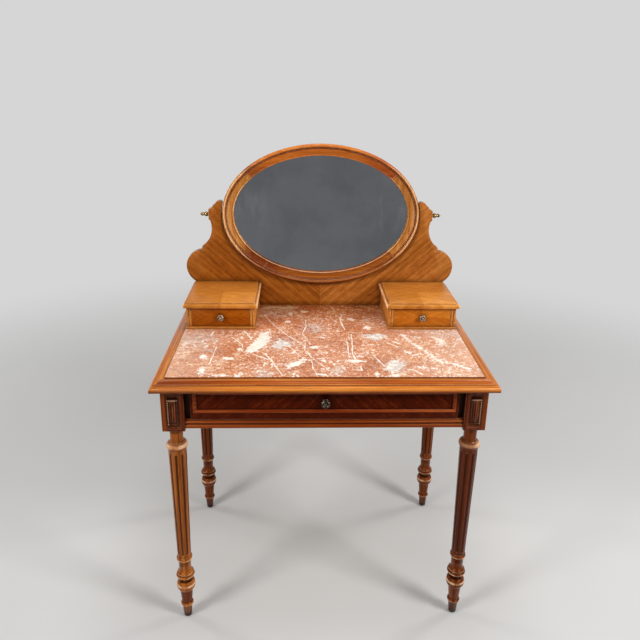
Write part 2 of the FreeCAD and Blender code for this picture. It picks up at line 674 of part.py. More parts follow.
def make_backboard():
    """Shaped board with its uprights, notched for the mirror."""
    tip_x = notch_half + TIP_OUT
    tip_z = axis_z + TIP_RISE
    cheek_top = axis_z + CHEEK_ABOVE
    board_half = box_outer + BOX_BASE_OVERHANG
    foot = V(board_half, box_top, 0)
    widest = V(notch_half + LOBE_OUT, TABLE_HEIGHT + LOBE_HEIGHT, 0)
    shoulder = V(notch_half + SHOULDER_OUT, TABLE_HEIGHT + SHOULDER_HEIGHT, 0)
    step = V(shoulder.x + SHOULDER_STEP_OUT, shoulder.y - SHOULDER_STEP, 0)
    waist = V(notch_half + UPRIGHT_WAIST, axis_z - WAIST_DROP, 0)
    waist_top = V(notch_half + WAIST_TOP_WIDTH, axis_z - WAIST_TOP_DROP, 0)
    cheek_low = V(upright_outer, axis_z - CHEEK_BELOW, 0)
    cheek_high = V(upright_outer, cheek_top, 0)
    steps = [V(tip_x + (upright_outer - tip_x) * out, tip_z + (cheek_top - tip_z) * down, 0)
             for out, down in HEAD_STEP_SHARES]
    tip = V(tip_x, tip_z, 0)
    inner = V(notch_half - TIP_INNER_IN, tip_z - TIP_INNER_DROP, 0)
    low_middle = V(0, frame_top, 0)
    high_middle = V(0, inner.y, 0)
    line = Part.LineSegment
    curves = [
        line(low_middle, V(board_half, frame_top, 0)),
        line(V(board_half, frame_top, 0), foot),
        Part.Arc(foot, lobe_middle(foot, widest), widest),
        Part.Arc(widest, lobe_middle(step, widest), step),
        line(step, shoulder),
        Part.Arc(shoulder, waist, waist_top),
        line(waist_top, cheek_low),
        line(cheek_low, cheek_high),
        line(cheek_high, steps[2]),
        Part.Arc(steps[2], bulge_point(steps[2], steps[1], HEAD_STEP_SAG), steps[1]),
        line(steps[1], steps[0]),
        Part.Arc(steps[0], bulge_point(steps[0], tip, TIP_SAG), tip),
        Part.Arc(tip, bulge_point(tip, inner, TIP_INNER_SAG), inner),
        line(inner, high_middle),
        line(high_middle, low_middle)]
    outline = Part.Face(Part.Wire([curve.toShape() for curve in curves]))
    half = placed(outline.extrude(Z_AXIS * BOARD_THICKNESS), V(0, board_back, 0), X_AXIS, Z_AXIS)
    board = half.fuse(mirrored(half)).removeSplitter()
    notch = oval_plate(MIRROR_FACE_WIDTH + NOTCH_GAP, board_front - CUT_OVERRUN, board_back + CUT_OVERRUN)
    return board.cut(notch)


def make_box_side(x0, x1):
    """Side of a small drawer box, with reeds down its front edge."""
    reed = (x1 - x0 - BOX_REED_MARGIN * 2) / BOX_REEDS
    front = box_front + BOX_REED_SAG
    corners = [(x0, front)]
    for k in range(BOX_REEDS):
        corners.append((x0 + BOX_REED_MARGIN + reed * k, front, BOX_REED_SAG))
    corners.extend([(x1 - BOX_REED_MARGIN, front), (x1, front), (x1, board_front), (x0, board_front)])
    return prism(corners, V(0, 0, box_floor), X_AXIS, Y_AXIS, BOX_SIDE_HEIGHT)


def make_box_top():
    """Moulded top of the right small drawer box: rounded edge and raised field."""
    over = BOX_TOP_OVERHANG
    edge_top = box_ceiling + BOX_TOP_EDGE
    slab = box(box_inner - over, box_outer + over, box_front - over, board_front, box_ceiling, edge_top)
    rims = [edge for edge in slab.Edges
            if edge.BoundBox.ZMin > box_ceiling and edge.BoundBox.YMin < board_front]
    slab = slab.makeFillet(BOX_TOP_ROUND, rims)
    inset = over - BOX_TOP_BORDER
    field = box(box_inner - inset, box_outer + inset, box_front - inset, board_front, box_ceiling, box_top)
    return slab.fuse(field).removeSplitter()


def make_small_drawer():
    """Pieces of the right small drawer: front, two sides, back, bottom and knob."""
    x0 = box_middle - small_half
    x1 = box_middle + small_half
    front = box(x0, x1, small_front, small_inside, small_foot, box_ceiling - DRAWER_GAP)
    knob_point = V(box_middle, small_front, (small_foot + box_ceiling - DRAWER_GAP) / 2)
    front = front.cut(stud_hole(knob_point))
    head = small_foot + SMALL_SIDE_HEIGHT
    floor_z = small_foot + SMALL_BOTTOM_RAISE
    inner0 = x0 + SMALL_SIDE_THICKNESS
    inner1 = x1 - SMALL_SIDE_THICKNESS
    back_front = small_end - SMALL_SIDE_THICKNESS
    bottom_size = (inner0 - SMALL_GROOVE_DEPTH, inner1 + SMALL_GROOVE_DEPTH, small_inside, small_end,
                   floor_z, floor_z + SMALL_BOTTOM_THICKNESS)
    sides = [box(a, b, small_inside, small_end, small_foot, head).cut(grown_box(*bottom_size))
             for a, b in ((x0, inner0), (inner1, x1))]
    back = box(inner0, inner1, back_front, small_end, floor_z + SMALL_BOTTOM_THICKNESS, head)
    return front, sides, back, box(*bottom_size), knob(SMALL_KNOB_RADIUS, knob_point)


pieces = {}

# Top frame, panel and marble
top_front, top_right, top_rear, bed, marble = make_top()
pieces["top_frame_front"] = top_front
pieces["top_frame_right"] = top_right
pieces["top_frame_left"] = mirrored(top_right)
pieces["marble_top"] = marble

# Aprons with their tenons
apron_tenon = (apron_inner + TENON_CHEEK, apron_outer - TENON_CHEEK, front_leg_back - TENON_LENGTH,
               rear_leg_front + TENON_LENGTH, apron_foot + TENON_SHOULDER, top_under - TENON_SHOULDER)
side_apron = box(apron_inner, apron_outer, front_leg_back, rear_leg_front, apron_foot, top_under)
side_apron = side_apron.fuse(box(*apron_tenon)).removeSplitter()
pieces["apron_right"] = side_apron
pieces["apron_left"] = mirrored(side_apron)
rear_tenon = (-block_inner - TENON_LENGTH, block_inner + TENON_LENGTH, rear_apron_front + TENON_CHEEK,
              rear_apron_back - TENON_CHEEK, apron_foot + TENON_SHOULDER, top_under - TENON_SHOULDER)
rear_apron = box(-block_inner, block_inner, rear_apron_front, rear_apron_back, apron_foot, top_under)
pieces["apron_rear"] = rear_apron.fuse(box(*rear_tenon)).removeSplitter()

# Front rails: a moulded one under the drawer and a plain one behind the drawer's upper edge
groove_foot = apron_foot + RAIL_BAND_HEIGHT
bead_foot = groove_foot + RAIL_GROOVE_HEIGHT
bead_head = bead_foot + RAIL_BEAD_HEIGHT
band_y = rail_front + RAIL_BAND_SAG
bead_y = rail_front + RAIL_BEAD_SAG
groove_y = rail_front + RAIL_GROOVE_DEPTH
rail_top_y = rail_front + RAIL_TOP_SETBACK
rail_corners = [(front_leg_back, apron_foot), (front_leg_back, rail_top), (rail_top_y, rail_top),
                (rail_top_y, bead_head), (bead_y, bead_head, RAIL_BEAD_SAG),
                (bead_y, bead_foot), (groove_y, bead_foot), (groove_y, groove_foot),
                (band_y, groove_foot, RAIL_BAND_SAG), (band_y, apron_foot)]
rail = prism(rail_corners, V(-block_inner, 0, 0), Y_AXIS, Z_AXIS, block_inner * 2)
rail_tenon = (-block_inner - TENON_LENGTH, block_inner + TENON_LENGTH, front_leg_y - TENON_LENGTH / 2,
              front_leg_y + TENON_LENGTH / 2, apron_foot + RAIL_TENON_MARGIN, rail_top - RAIL_TENON_MARGIN)
pieces["front_lower_rail"] = rail.fuse(box(*rail_tenon)).removeSplitter()
top_rail_foot = top_under - TOP_RAIL_HEIGHT
top_rail = box(-block_inner, block_inner, top_rail_front, front_leg_back, top_rail_foot, top_under)
top_rail_tenon = (-block_inner - TENON_LENGTH, block_inner + TENON_LENGTH,
                  front_leg_y, front_leg_y + TENON_LENGTH,
                  top_rail_foot + RAIL_TENON_MARGIN, top_under - RAIL_TENON_MARGIN)
pieces["front_top_rail"] = top_rail.fuse(box(*top_rail_tenon)).removeSplitter()
stile = box(block_inner - STILE_WIDTH, block_inner, block_front + STILE_SETBACK, top_rail_front,
            rail_top, top_under)
pieces["front_stiles"] = [stile, mirrored(stile)]

# Legs, with mortises for the tenons, and panels in the front blocks
mortises = [grown_box(*size) for size in (apron_tenon, rear_tenon, rail_tenon, top_rail_tenon)]
panel_places = ((V(leg_x, block_front, block_foot), X_AXIS),
                (V(block_outer, front_leg_y, block_foot), Y_AXIS))
recesses = [panel_recess(*place) for place in panel_places]
for side, turn in (("right", RIGHT_FLUTE_TURN), ("left", LEFT_FLUTE_TURN)):
    turned_part = turned_leg(turn)
    for end, leg_y in (("front", front_leg_y), ("rear", rear_leg_y)):
        shaft = turned_part.copy()
        shaft.translate(V(leg_x, leg_y, 0))
        block = box(block_inner, block_outer, leg_y - LEG_BLOCK / 2, leg_y + LEG_BLOCK / 2,
                    block_foot, top_under)
        leg = block.fuse(shaft).removeSplitter().cut(mortises)
        if end == "front":
            leg = leg.cut(recesses)
        pieces["leg_" + end + "_" + side] = mirrored(leg) if side == "left" else leg
right_tablets = [tablet(*place) for place in panel_places]
pieces["leg_tablets"] = right_tablets + [mirrored(solid) for solid in right_tablets]
glide_corners = [(0, 0), (GLIDE_RADIUS - GLIDE_DOME, 0), (GLIDE_RADIUS, GLIDE_DOME),
                 (GLIDE_RADIUS, GLIDE_HEIGHT), (0, GLIDE_HEIGHT)]
pieces["foot_glides"] = [turned(glide_corners, V(side * leg_x, leg_y, 0), Z_AXIS)
                         for side in (1, -1) for leg_y in (front_leg_y, rear_leg_y)]

# Drawer runners with guides, and corner blocks screwed up into the panel
lip = drawer_side_x - RUNNER_LIP
guide_x = drawer_side_x + DRAWER_GAP
runner_corners = [(lip, runner_top - RUNNER_THICKNESS), (apron_inner, runner_top - RUNNER_THICKNESS),
                  (apron_inner, runner_top), (guide_x + GUIDE_WIDTH, runner_top),
                  (guide_x + GUIDE_WIDTH, runner_top + GUIDE_HEIGHT), (guide_x, runner_top + GUIDE_HEIGHT),
                  (guide_x, runner_top), (lip, runner_top)]
runner = prism(runner_corners, V(0, rear_leg_front, 0), X_AXIS, Z_AXIS, rear_leg_front - front_leg_back)
pieces["drawer_runners"] = [runner, mirrored(runner)]
corner_foot = top_under - CORNER_BLOCK_HEIGHT
corner_blocks = []
top_screws = []
for start in (front_leg_back, rear_leg_front - CORNER_BLOCK_LENGTH):
    head = V(apron_inner - CORNER_BLOCK_WIDTH / 2, start + CORNER_BLOCK_LENGTH / 2, corner_foot)
    length = CORNER_BLOCK_HEIGHT + TOP_SCREW_BITE
    hole = screw_hole(head, Z_AXIS, length)
    block = box(apron_inner - CORNER_BLOCK_WIDTH, apron_inner, start, start + CORNER_BLOCK_LENGTH,
                corner_foot, top_under)
    corner_blocks.append(block.cut(hole))
    top_screws.append(screw(head, Z_AXIS, length))
    bed = bed.cut([hole, mirrored(hole)])
pieces["corner_blocks"] = corner_blocks + [mirrored(solid) for solid in corner_blocks]
pieces["top_screws"] = top_screws + [mirrored(solid) for solid in top_screws]
pieces["marble_bed"] = bed

# Backboard, screwed up through the rear bar, and the bushes in its uprights
backboard = make_backboard()
board_screws = []
for share in BOARD_SCREW_SHARES:
    head = V(box_outer * share, board_middle, top_under)
    length = frame_top - top_under + BOARD_SCREW_BITE
    hole = screw_hole(head, Z_AXIS, length)
    backboard = backboard.cut(hole)
    top_rear = top_rear.cut(hole)
    board_screws.append(screw(head, Z_AXIS, length))
pieces["backboard_screws"] = board_screws
pieces["top_frame_rear"] = top_rear
bush = rod(V(notch_half, axis_y, axis_z), X_AXIS, BUSH_RADIUS, UPRIGHT_WIDTH)
bush = bush.cut(rod(V(notch_half - CUT_OVERRUN, axis_y, axis_z), X_AXIS, PIN_RADIUS + RUN_CLEARANCE,
                    UPRIGHT_WIDTH + CUT_OVERRUN * 2))
bush_hole = rod(V(notch_half - CUT_OVERRUN * 2, axis_y, axis_z), X_AXIS, BUSH_RADIUS + RUN_CLEARANCE,
                UPRIGHT_WIDTH + CUT_OVERRUN * 4)
backboard = backboard.cut([bush_hole, mirrored(bush_hole)])
pieces["pivot_bushes"] = [bush, mirrored(bush)]

# Small drawer boxes, screwed through the backboard
over = BOX_BASE_OVERHANG
box_base = box(box_inner - over, box_outer + over, box_front - over, board_front, TABLE_HEIGHT, box_floor)
box_sides = {"outer": (box_outer - BOX_SIDE_THICKNESS, box_outer),
             "inner": (box_inner, box_inner + BOX_SIDE_THICKNESS)}
box_screws = []
for name, (x0, x1) in box_sides.items():
    side = make_box_side(x0, x1)
    for share in BOX_SCREW_SHARES:
        head = V((x0 + x1) / 2, board_back, box_floor + BOX_SIDE_HEIGHT * share)
        length = BOARD_THICKNESS + BOX_SCREW_BITE
        hole = screw_hole(head, -Y_AXIS, length)
        side = side.cut(hole)
        backboard = backboard.cut([hole, mirrored(hole)])
        box_screws.append(screw(head, -Y_AXIS, length))
    pieces["right_box_" + name + "_side"] = side
    pieces["left_box_" + name + "_side"] = mirrored(side)
pieces["box_screws"] = box_screws + [mirrored(solid) for solid in box_screws]
pieces["right_box_base"] = box_base
pieces["left_box_base"] = mirrored(box_base)
box_lid = make_box_top()
pieces["right_box_top"] = box_lid
pieces["left_box_top"] = mirrored(box_lid)
pieces["backboard"] = backboard

# Small drawers
front, sides, back, bottom, small_knob = make_small_drawer()
for name, solids in (("front", [front]), ("sides", sides), ("back", [back]),
                     ("bottom", [bottom]), ("knob", [small_knob])):
    pieces["right_drawer_" + name] = solids
    pieces["left_drawer_" + name] = [mirrored(solid) for solid in solids]

# Main drawer
knob_point = V(0, drawer_front, (strip_foot + strip_head) / 2)
main_front = box(-drawer_half, drawer_half, drawer_front, drawer_inside, drawer_foot, drawer_head)
pieces["main_drawer_front"] = main_front.cut(stud_hole(knob_point))
pieces["main_drawer_strips"] = make_drawer_strips()
pieces["main_drawer_knob"] = knob(KNOB_RADIUS, knob_point)
inner_x = drawer_side_x - DRAWER_SIDE_THICKNESS
side_head = drawer_foot + DRAWER_SIDE_HEIGHT
floor_z = drawer_foot + DRAWER_BOTTOM_RAISE
floor_head = floor_z + DRAWER_BOTTOM_THICKNESS
bottom_size = (-inner_x - GROOVE_DEPTH, inner_x + GROOVE_DEPTH, drawer_inside, drawer_end,
               floor_z, floor_head)
main_side = box(inner_x, drawer_side_x, drawer_inside, drawer_end, drawer_foot, side_head)
main_side = main_side.cut(grown_box(*bottom_size))
pieces["main_drawer_right_side"] = main_side
pieces["main_drawer_left_side"] = mirrored(main_side)
pieces["main_drawer_back"] = box(-inner_x, inner_x, drawer_end - DRAWER_SIDE_THICKNESS, drawer_end,
                                 floor_head, side_head)
pieces["main_drawer_bottom"] = box(*bottom_size)

# Mirror: frame segments, glass, backing and its clips
section = mirror_section()
pin_hole = rod(V(mirror_half - PIN_EMBED, axis_y, axis_z), X_AXIS, PIN_RADIUS + RUN_CLEARANCE,
               PIN_EMBED + CUT_OVERRUN)
angles = [math.radians(angle) for angle in FRAME_JOINT_DEGREES]
for index, name in enumerate(("top", "left", "bottom", "right")):
    start = angles[index]
    end = angles[(index + 1) % len(angles)]
    if end < start:
        end += math.pi * 2
    segment = mirror_segment(section, start, end)
    if name == "right":
        segment = segment.cut(pin_hole)
    if name == "left":
        segment = segment.cut(mirrored(pin_hole))
    pieces["mirror_frame_" + name] = tilted(segment)
glass_outside = MIRROR_REBATE_WIDTH - JOINT_CLEARANCE
bevel_y = rebate_y + BEVEL_DEPTH
glass_back = rebate_y + GLASS_THICKNESS
bevel = Part.makeLoft([Part.Wire([ellipse_arc(glass_outside - BEVEL_WIDTH, rebate_y, 0, math.pi * 2)]),
                       Part.Wire([ellipse_arc(glass_outside, bevel_y, 0, math.pi * 2)])], True, True)
glass = oval_plate(glass_outside, bevel_y, glass_back).fuse(bevel).removeSplitter()
pieces["mirror_glass"] = tilted(glass)
pieces["mirror_backing"] = tilted(oval_plate(glass_outside, glass_back, mirror_back))
clips = []
for k in range(CLIP_COUNT):
    angle = math.pi * (2 * k + 1) / CLIP_COUNT
    seat = oval_point(MIRROR_REBATE_WIDTH, mirror_back, angle)
    across = V(math.cos(angle), 0, math.sin(angle))
    along = across.cross(Y_AXIS)
    half_clip = CLIP_LENGTH / 2
    plan = [(-half_clip, -CLIP_WIDTH / 2), (half_clip, -CLIP_WIDTH / 2),
            (half_clip, CLIP_WIDTH / 2), (-half_clip, CLIP_WIDTH / 2)]
    plate = prism(plan, seat, across, along, across.cross(along).dot(Y_AXIS) * CLIP_THICKNESS)
    head = rod(seat + across * (half_clip / 2), Y_AXIS, CLIP_HEAD_RADIUS, CLIP_HEAD_HEIGHT + CLIP_THICKNESS)
    clips.append(tilted(plate.fuse(head).removeSplitter()))
pieces["mirror_backing_clips"] = clips

# Pivot pins and the finials on their ends
pin_start = V(mirror_half - PIN_EMBED, axis_y, axis_z)
pin = rod(pin_start, X_AXIS, PIN_RADIUS, upright_outer + PIN_REACH - pin_start.x)
collar = rod(V(mirror_half, axis_y, axis_z), X_AXIS, PIN_COLLAR_RADIUS, NOTCH_GAP - SLIDE_CLEARANCE * 2)
pin = pin.fuse(collar).removeSplitter()
pieces["mirror_pivot_pins"] = [pin, mirrored(pin)]
finial_seat = V(upright_outer + SLIDE_CLEARANCE, axis_y, axis_z)
finial_corners = [(0, 0)]
finial_corners.extend((FINIAL_RADIUS * out, FINIAL_LENGTH * reach) for out, reach in FINIAL_SHARES)
finial = turned(finial_corners, finial_seat, X_AXIS)
finial = finial.cut(rod(finial_seat - X_AXIS * CUT_OVERRUN, X_AXIS, PIN_RADIUS + RUN_CLEARANCE,
                        PIN_REACH + CUT_OVERRUN))
pieces["right_finial"] = finial
pieces["left_finial"] = mirrored(finial)

os.makedirs("parts", exist_ok=True)
for name, solid in pieces.items():
    shape = Part.makeCompound(solid) if isinstance(solid, list) else solid
    shape.exportStep(os.path.join("parts", name + ".step"))
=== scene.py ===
"""Looks of a dressing table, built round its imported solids. Lengths are in metres."""

import json
import math

import bmesh
import bpy
from mathutils import Matrix, Vector

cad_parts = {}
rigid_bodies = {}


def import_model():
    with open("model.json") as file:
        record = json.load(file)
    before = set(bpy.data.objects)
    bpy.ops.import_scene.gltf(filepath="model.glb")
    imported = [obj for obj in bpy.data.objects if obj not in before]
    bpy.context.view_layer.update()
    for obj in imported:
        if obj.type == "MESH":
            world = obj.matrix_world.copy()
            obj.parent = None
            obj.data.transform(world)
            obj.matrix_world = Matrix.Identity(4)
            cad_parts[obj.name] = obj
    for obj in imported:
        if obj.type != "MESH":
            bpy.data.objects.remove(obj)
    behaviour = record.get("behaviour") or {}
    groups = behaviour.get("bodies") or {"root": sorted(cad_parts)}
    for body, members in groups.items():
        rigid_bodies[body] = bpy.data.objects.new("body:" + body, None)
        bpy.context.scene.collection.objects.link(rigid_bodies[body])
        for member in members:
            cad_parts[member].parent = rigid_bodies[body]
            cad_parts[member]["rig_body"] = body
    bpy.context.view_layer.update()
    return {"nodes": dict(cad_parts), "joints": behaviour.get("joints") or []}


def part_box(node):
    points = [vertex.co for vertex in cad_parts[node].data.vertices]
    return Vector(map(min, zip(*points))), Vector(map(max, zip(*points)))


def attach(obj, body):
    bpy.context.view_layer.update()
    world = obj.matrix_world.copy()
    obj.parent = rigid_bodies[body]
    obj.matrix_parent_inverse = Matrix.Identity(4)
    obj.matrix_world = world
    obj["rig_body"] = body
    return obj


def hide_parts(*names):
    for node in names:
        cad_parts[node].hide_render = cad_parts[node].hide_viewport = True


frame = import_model()
nodes = frame["nodes"]
scene = bpy.context.scene
scene.view_settings.view_transform = "Standard"


def tint(red, green, blue):
    """Colour as it shows on a screen, 0 to 255 a channel, turned into light values."""
    def light(value):
        share = value / 255
        return share / 12.92 if share <= 0.04045 else ((share + 0.055) / 1.055) ** 2.4
    return light(red), light(green), light(blue), 1.0


def darker(colour, share):
    return tuple(channel * share for channel in colour[:3]) + (1.0,)


def paler(colour, share):
    return tuple(channel + (1.0 - channel) * share for channel in colour)


def box_middle(name):
    low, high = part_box(name)
    return (low + high) / 2


PLAIN = tint(255, 255, 255)
BLACK = tint(0, 0, 0)
UP = Vector((0, 0, 1))
FRONT = Vector((0, -1, 0))
SIDES = {"left": Vector((-1, 0, 0)), "right": Vector((1, 0, 0))}

# Camera
IMAGE_SIZE = 640              # pixels along each side
FOCAL_PIXELS = 630.0
CENTRE_ROW = 280.0            # image row that the lens looks at
CAMERA_PLACE = Vector((-0.0677, -1.6109, 1.4539))
CAMERA_YAW = math.radians(2.071)
CAMERA_PITCH = math.radians(18.465)
CAMERA_ROLL = math.radians(-0.889)
SENSOR_WIDTH = 36.0           # millimetres

# Stage
FLOOR_HALF = 14.0
FLOOR_NOISE = (1.5, 3.0)      # turns in a metre, detail
FLOOR_TONES = (tint(208, 207, 205), tint(216, 215, 213))
FADE_START = 0.9              # distance from the table at which the floor begins to melt into the backdrop
FADE_END = 3.2
BACKDROP = tint(236, 236, 236)
CARD_PLACE = -2.4
CARD_EDGE = 0.95              # half the width of the grey card between the two bright ones
CARD_FOOT = 0.26
CARD_TOP = 2.4
CARD_FADE_TOP = 0.9           # the grey card is paler below this
CARD_TONES = (tint(104, 105, 105), tint(96, 96, 99))
GLINT_FAR_EDGE = 2.3          # bright cards draw lines of light along the beads
GLINT_FOOT = 0.35
GLINT_TOP = 1.7
GLINT_TONE = tint(255, 246, 236)
GLINT_STRENGTH = 6.0
GLINT_IN_MIRROR = 0.6
LAMP_AIM = Vector((0, 0, 0.70))
# Name, place, size, power in watts
LAMPS = (("left_softbox", Vector((-1.9, -1.5, 2.1)), 0.8, 34.0),
         ("right_softbox", Vector((2.0, -1.4, 2.2)), 0.8, 46.0),
         ("overhead_softbox", Vector((0.1, 0.0, 3.0)), 1.0, 18.0),
         ("left_rim", Vector((-2.2, 0.9, 1.6)), 0.5, 9.0),
         ("right_rim", Vector((2.2, 0.9, 1.6)), 0.5, 11.0))
WORLD_FILL = 0.28             # light from all round
WORLD_SEEN = 0.80             # how bright the backdrop looks

# Softened edges
SOFT_EDGE = 0.0007
SOFT_SEGMENTS = 2
ROUND_PROFILE = 0.5
UNIT_HALF = 0.5               # half of a block of size 1
SOFT_ANGLE = math.radians(40)
WELD = 0.00001
FLAT_ANGLE = math.radians(0.5)
SHADE_ANGLE = math.radians(38)

# Turned legs, from the glide up to the shaft: height, lower radius, upper radius, bulge
GLIDE_HEIGHT = 0.004
LOWER_TURNING = ((0.0360, 0.0105, 0.0132, 0.0),       # foot
                 (0.0110, 0.0145, 0.0145, 0.0028),    # ankle
                 (0.0420, 0.0138, 0.0173, 0.0),       # column
                 (0.0340, 0.0173, 0.0190, 0.0070),    # knop
                 (0.0120, 0.0150, 0.0150, 0.0),       # waist
                 (0.0100, 0.0210, 0.0210, 0.0037),    # ring
                 (0.0040, 0.0220, 0.0220, 0.0),       # fillet
                 (0.0180, 0.0220, 0.0162, -0.0025),   # bell
                 (0.0210, 0.0162, 0.0162, 0.0),       # neck of the bell
                 (0.0150, 0.0183, 0.0183, 0.0027))    # bead
# From the shaft up to the block
UPPER_TURNING = ((0.0160, 0.0220, 0.0220, 0.0052),    # torus
                 (0.0030, 0.0187, 0.0187, 0.0),       # collar
                 (0.0420, 0.0166, 0.0176, -0.0006))   # neck
NECK_SEAT = (0.0020, 0.0176, 0.0176, 0.0)             # end of the neck, inside the block
BLOCK_FOOT = 0.6040
BLOCK_HALF = 0.0280
SHAFT_FOOT = GLIDE_HEIGHT + sum(rise[0] for rise in LOWER_TURNING)
SHAFT_TOP = BLOCK_FOOT - sum(rise[0] for rise in UPPER_TURNING)
SHAFT_FOOT_RADIUS = 0.0178
SHAFT_TOP_RADIUS = 0.0233
FLUTE_COUNT = 9
FLUTE_TURNS = {"left": 0.0, "right": math.radians(15)}  # first flute from the front
FLUTE_FOOT_RADIUS = 0.0022
FLUTE_TOP_RADIUS = 0.0028
FLUTE_FOOT = SHAFT_FOOT + 0.0132
FLUTE_TOP = SHAFT_TOP - 0.0137
LEAST_FLUTE_ANGLE = 0.004
FLUTE_STEPS = 8
LAND_STEPS = 3
ARC_STEPS = 12
SHAFT_STEPS = 36
END_STEPS = 7

# Carved tablets
TABLET_WIDTH = 0.0270
TABLET_HEIGHT = 0.0700
TABLET_FOOT = BLOCK_FOOT + 0.0180
TABLET_PLATE = 0.0020
PANEL_DEPTH = 0.0030
TABLET_BEADS = 11
BEAD_RADIUS = 0.0024
BEAD_HEIGHT = 0.0030
BEAD_PITCH = (TABLET_HEIGHT - 2 * BEAD_RADIUS) / (TABLET_BEADS - 1)
BEAD_RINGS = 5
BEAD_SIDES = 14
FOOT_BEADS = 4
REEDS = 3
REED_HEIGHT = 0.0026
TABLET_BAR = 0.0048

# Knobs, as shares of their radius: distance from the axis and from the drawer front, strength of the petals
KNOB_SHARES = (
    (0.66, 0.0, 0), (0.66, 0.10, 0), (0.56, 0.17, 0), (0.38, 0.26, 0), (0.33, 0.42, 0), (0.36, 0.60, 0),
    (0.62, 0.80, 0.5), (0.86, 0.90, 0.9), (0.98, 1.04, 1.0), (0.97, 1.18, 1.0), (0.84, 1.31, 0.9),
    (0.68, 1.35, 0.7), (0.52, 1.29, 0.4), (0.42, 1.22, 0.1), (0.40, 1.34, 0), (0.33, 1.44, 0),
    (0.20, 1.52, 0), (0.0, 1.55, 0))
KNOB_PETALS = 8
PETAL_DEPTH_SHARE = 0.10
KNOB_SIDES = 80
# Finials, as shares of their radius and length
FINIAL_SHARES = (
    (0.78, 0.0), (0.78, 0.06), (0.70, 0.09), (0.78, 0.12), (0.95, 0.17), (1.0, 0.24), (1.0, 0.33),
    (0.93, 0.41), (0.74, 0.47), (0.58, 0.52), (0.56, 0.57), (0.66, 0.61), (0.78, 0.67), (0.79, 0.74),
    (0.70, 0.82), (0.50, 0.88), (0.34, 0.91), (0.32, 0.95), (0.22, 0.985), (0.0, 1.0))
FINIAL_SIDES = 40

# Mirror frame: sizes across the frame run outwards from the glass
SIGHT_HALF_WIDTH = 0.2625
SIGHT_HALF_HEIGHT = 0.1760
MIRROR_FACE = 0.0345
INNER_BEAD = 0.0022
INNER_BEAD_BACK = 0.0090
BAND_FRONT = 0.0042
BAND_HOLLOW = 0.0006
FRAME_GROOVE_WIDTH = 0.0014
FRAME_GROOVE_DEPTH = 0.0022
OUTER_BEAD = 0.0053
REBATE_WIDTH = 0.0080
REBATE_DEPTH = 0.0100
MIRROR_FRONT = -0.0160        # frame's front face from the pivot axis
MIRROR_THICKNESS = 0.0260
MIRROR_TILT = math.radians(4)  # upper edge to the back
GLASS_EDGE = 0.0079           # glass beyond the sight edge
GLASS_FRONT = 0.0160
GLASS_BACK = 0.0210
BEVEL_INSET = 0.0161
BEVEL_DEPTH = 0.0003
GLASS_STEPS = 240
FRAME_EDGE = 0.0012
FRAME_BEAD_STEPS = 12
FRAME_STEPS = 64
JOINT_DEGREES = {"mirror_frame_top": (38.0, 142.0), "mirror_frame_left": (142.0, 233.0),
                 "mirror_frame_bottom": (233.0, 322.0), "mirror_frame_right": (322.0, 398.0)}
JOINT_SHARE = 0.985           # section left at the hairline joint
JOINT_DEGREE_STEP = 0.14
pivot = next(Vector(joint["pos_m"]) for joint in frame["joints"] if joint["name"] == "mirror_tilt")
tilt = Matrix.Translation(pivot) @ Matrix.Rotation(-MIRROR_TILT, 4, "X")

# Tones of each wood, from its dark lines to its light ones
LEG_TONES = (tint(88, 34, 8), tint(164, 89, 29), tint(208, 133, 58))
TABLET_TONES = (tint(40, 9, 4), tint(98, 33, 15), tint(196, 118, 72))
RAIL_TONES = (tint(94, 34, 7), tint(140, 58, 12), tint(180, 92, 28))
MOULDING_TONES = (tint(150, 70, 20), tint(208, 122, 42), tint(242, 166, 82))
BOARD_TONES = (tint(132, 72, 22), tint(172, 101, 38), tint(200, 130, 60))
BOX_TONES = (tint(154, 86, 28), tint(206, 132, 54), tint(234, 166, 84))
GOLDEN_TONES = (tint(152, 84, 28), tint(204, 125, 51), tint(234, 164, 86))
# The main drawer's chevron veneer is kept very dark: painted shade from the overhanging top
CHEVRON_TONES = (tint(50, 11, 3), tint(80, 23, 6), tint(118, 46, 15))
QUARTER_TONES = (tint(158, 84, 20), tint(210, 128, 40), tint(234, 162, 66))
STRIP_TONES = (tint(94, 30, 6), tint(136, 52, 11), tint(182, 94, 34))
SECONDARY_TONES = (tint(170, 128, 82), tint(198, 158, 108), tint(218, 184, 138))
# Dark tones of the set-back stiles beside the drawer: painted shade of the gap
STILE_SHADE_TONES = (tint(22, 8, 5), tint(40, 14, 9), tint(58, 24, 15))
SHELLAC = tint(255, 184, 128)
PALE_SHELLAC = tint(255, 222, 190)
# Painted highlight along the crests of rings and beads and the edges of box tops
HIGHLIGHT_TONE = tint(250, 202, 158)

MIDDLE = 0.5                  # middle of a noise
SHARP_EDGE_LIMITS = (0.995, 0.90)   # how far a rounded normal leans from the plain one along a sharp edge
LOOK_SAMPLES = 4


class Value:
    """A number worked out by a material's nodes, with plain arithmetic."""

    def __init__(self, shade, socket):
        self.shade = shade
        self.socket = socket

    def __add__(self, other):
        return self.shade.math("ADD", self, other)

    def __sub__(self, other):
        return self.shade.math("SUBTRACT", self, other)

    def __rsub__(self, other):
        return self.shade.math("SUBTRACT", other, self)

    def __mul__(self, other):
        return self.shade.math("MULTIPLY", self, other)

    def __truediv__(self, other):
        return self.shade.math("DIVIDE", self, other)

    def __neg__(self):
        return self.shade.math("MULTIPLY", self, -1.0)

    def __abs__(self):
        return self.shade.math("ABSOLUTE", self)

    def __gt__(self, other):
        return self.shade.math("GREATER_THAN", self, other)

    def __lt__(self, other):
        return self.shade.math("LESS_THAN", self, other)

    def most(self, other):
        return self.shade.math("MAXIMUM", self, other)

    def least(self, other):
        return self.shade.math("MINIMUM", self, other)


def greatest(values):
    found = values[0]
    for value in values[1:]:
        found = found.most(value)
    return found


def triple(value):
    return value if isinstance(value, tuple) else (value,) * 3


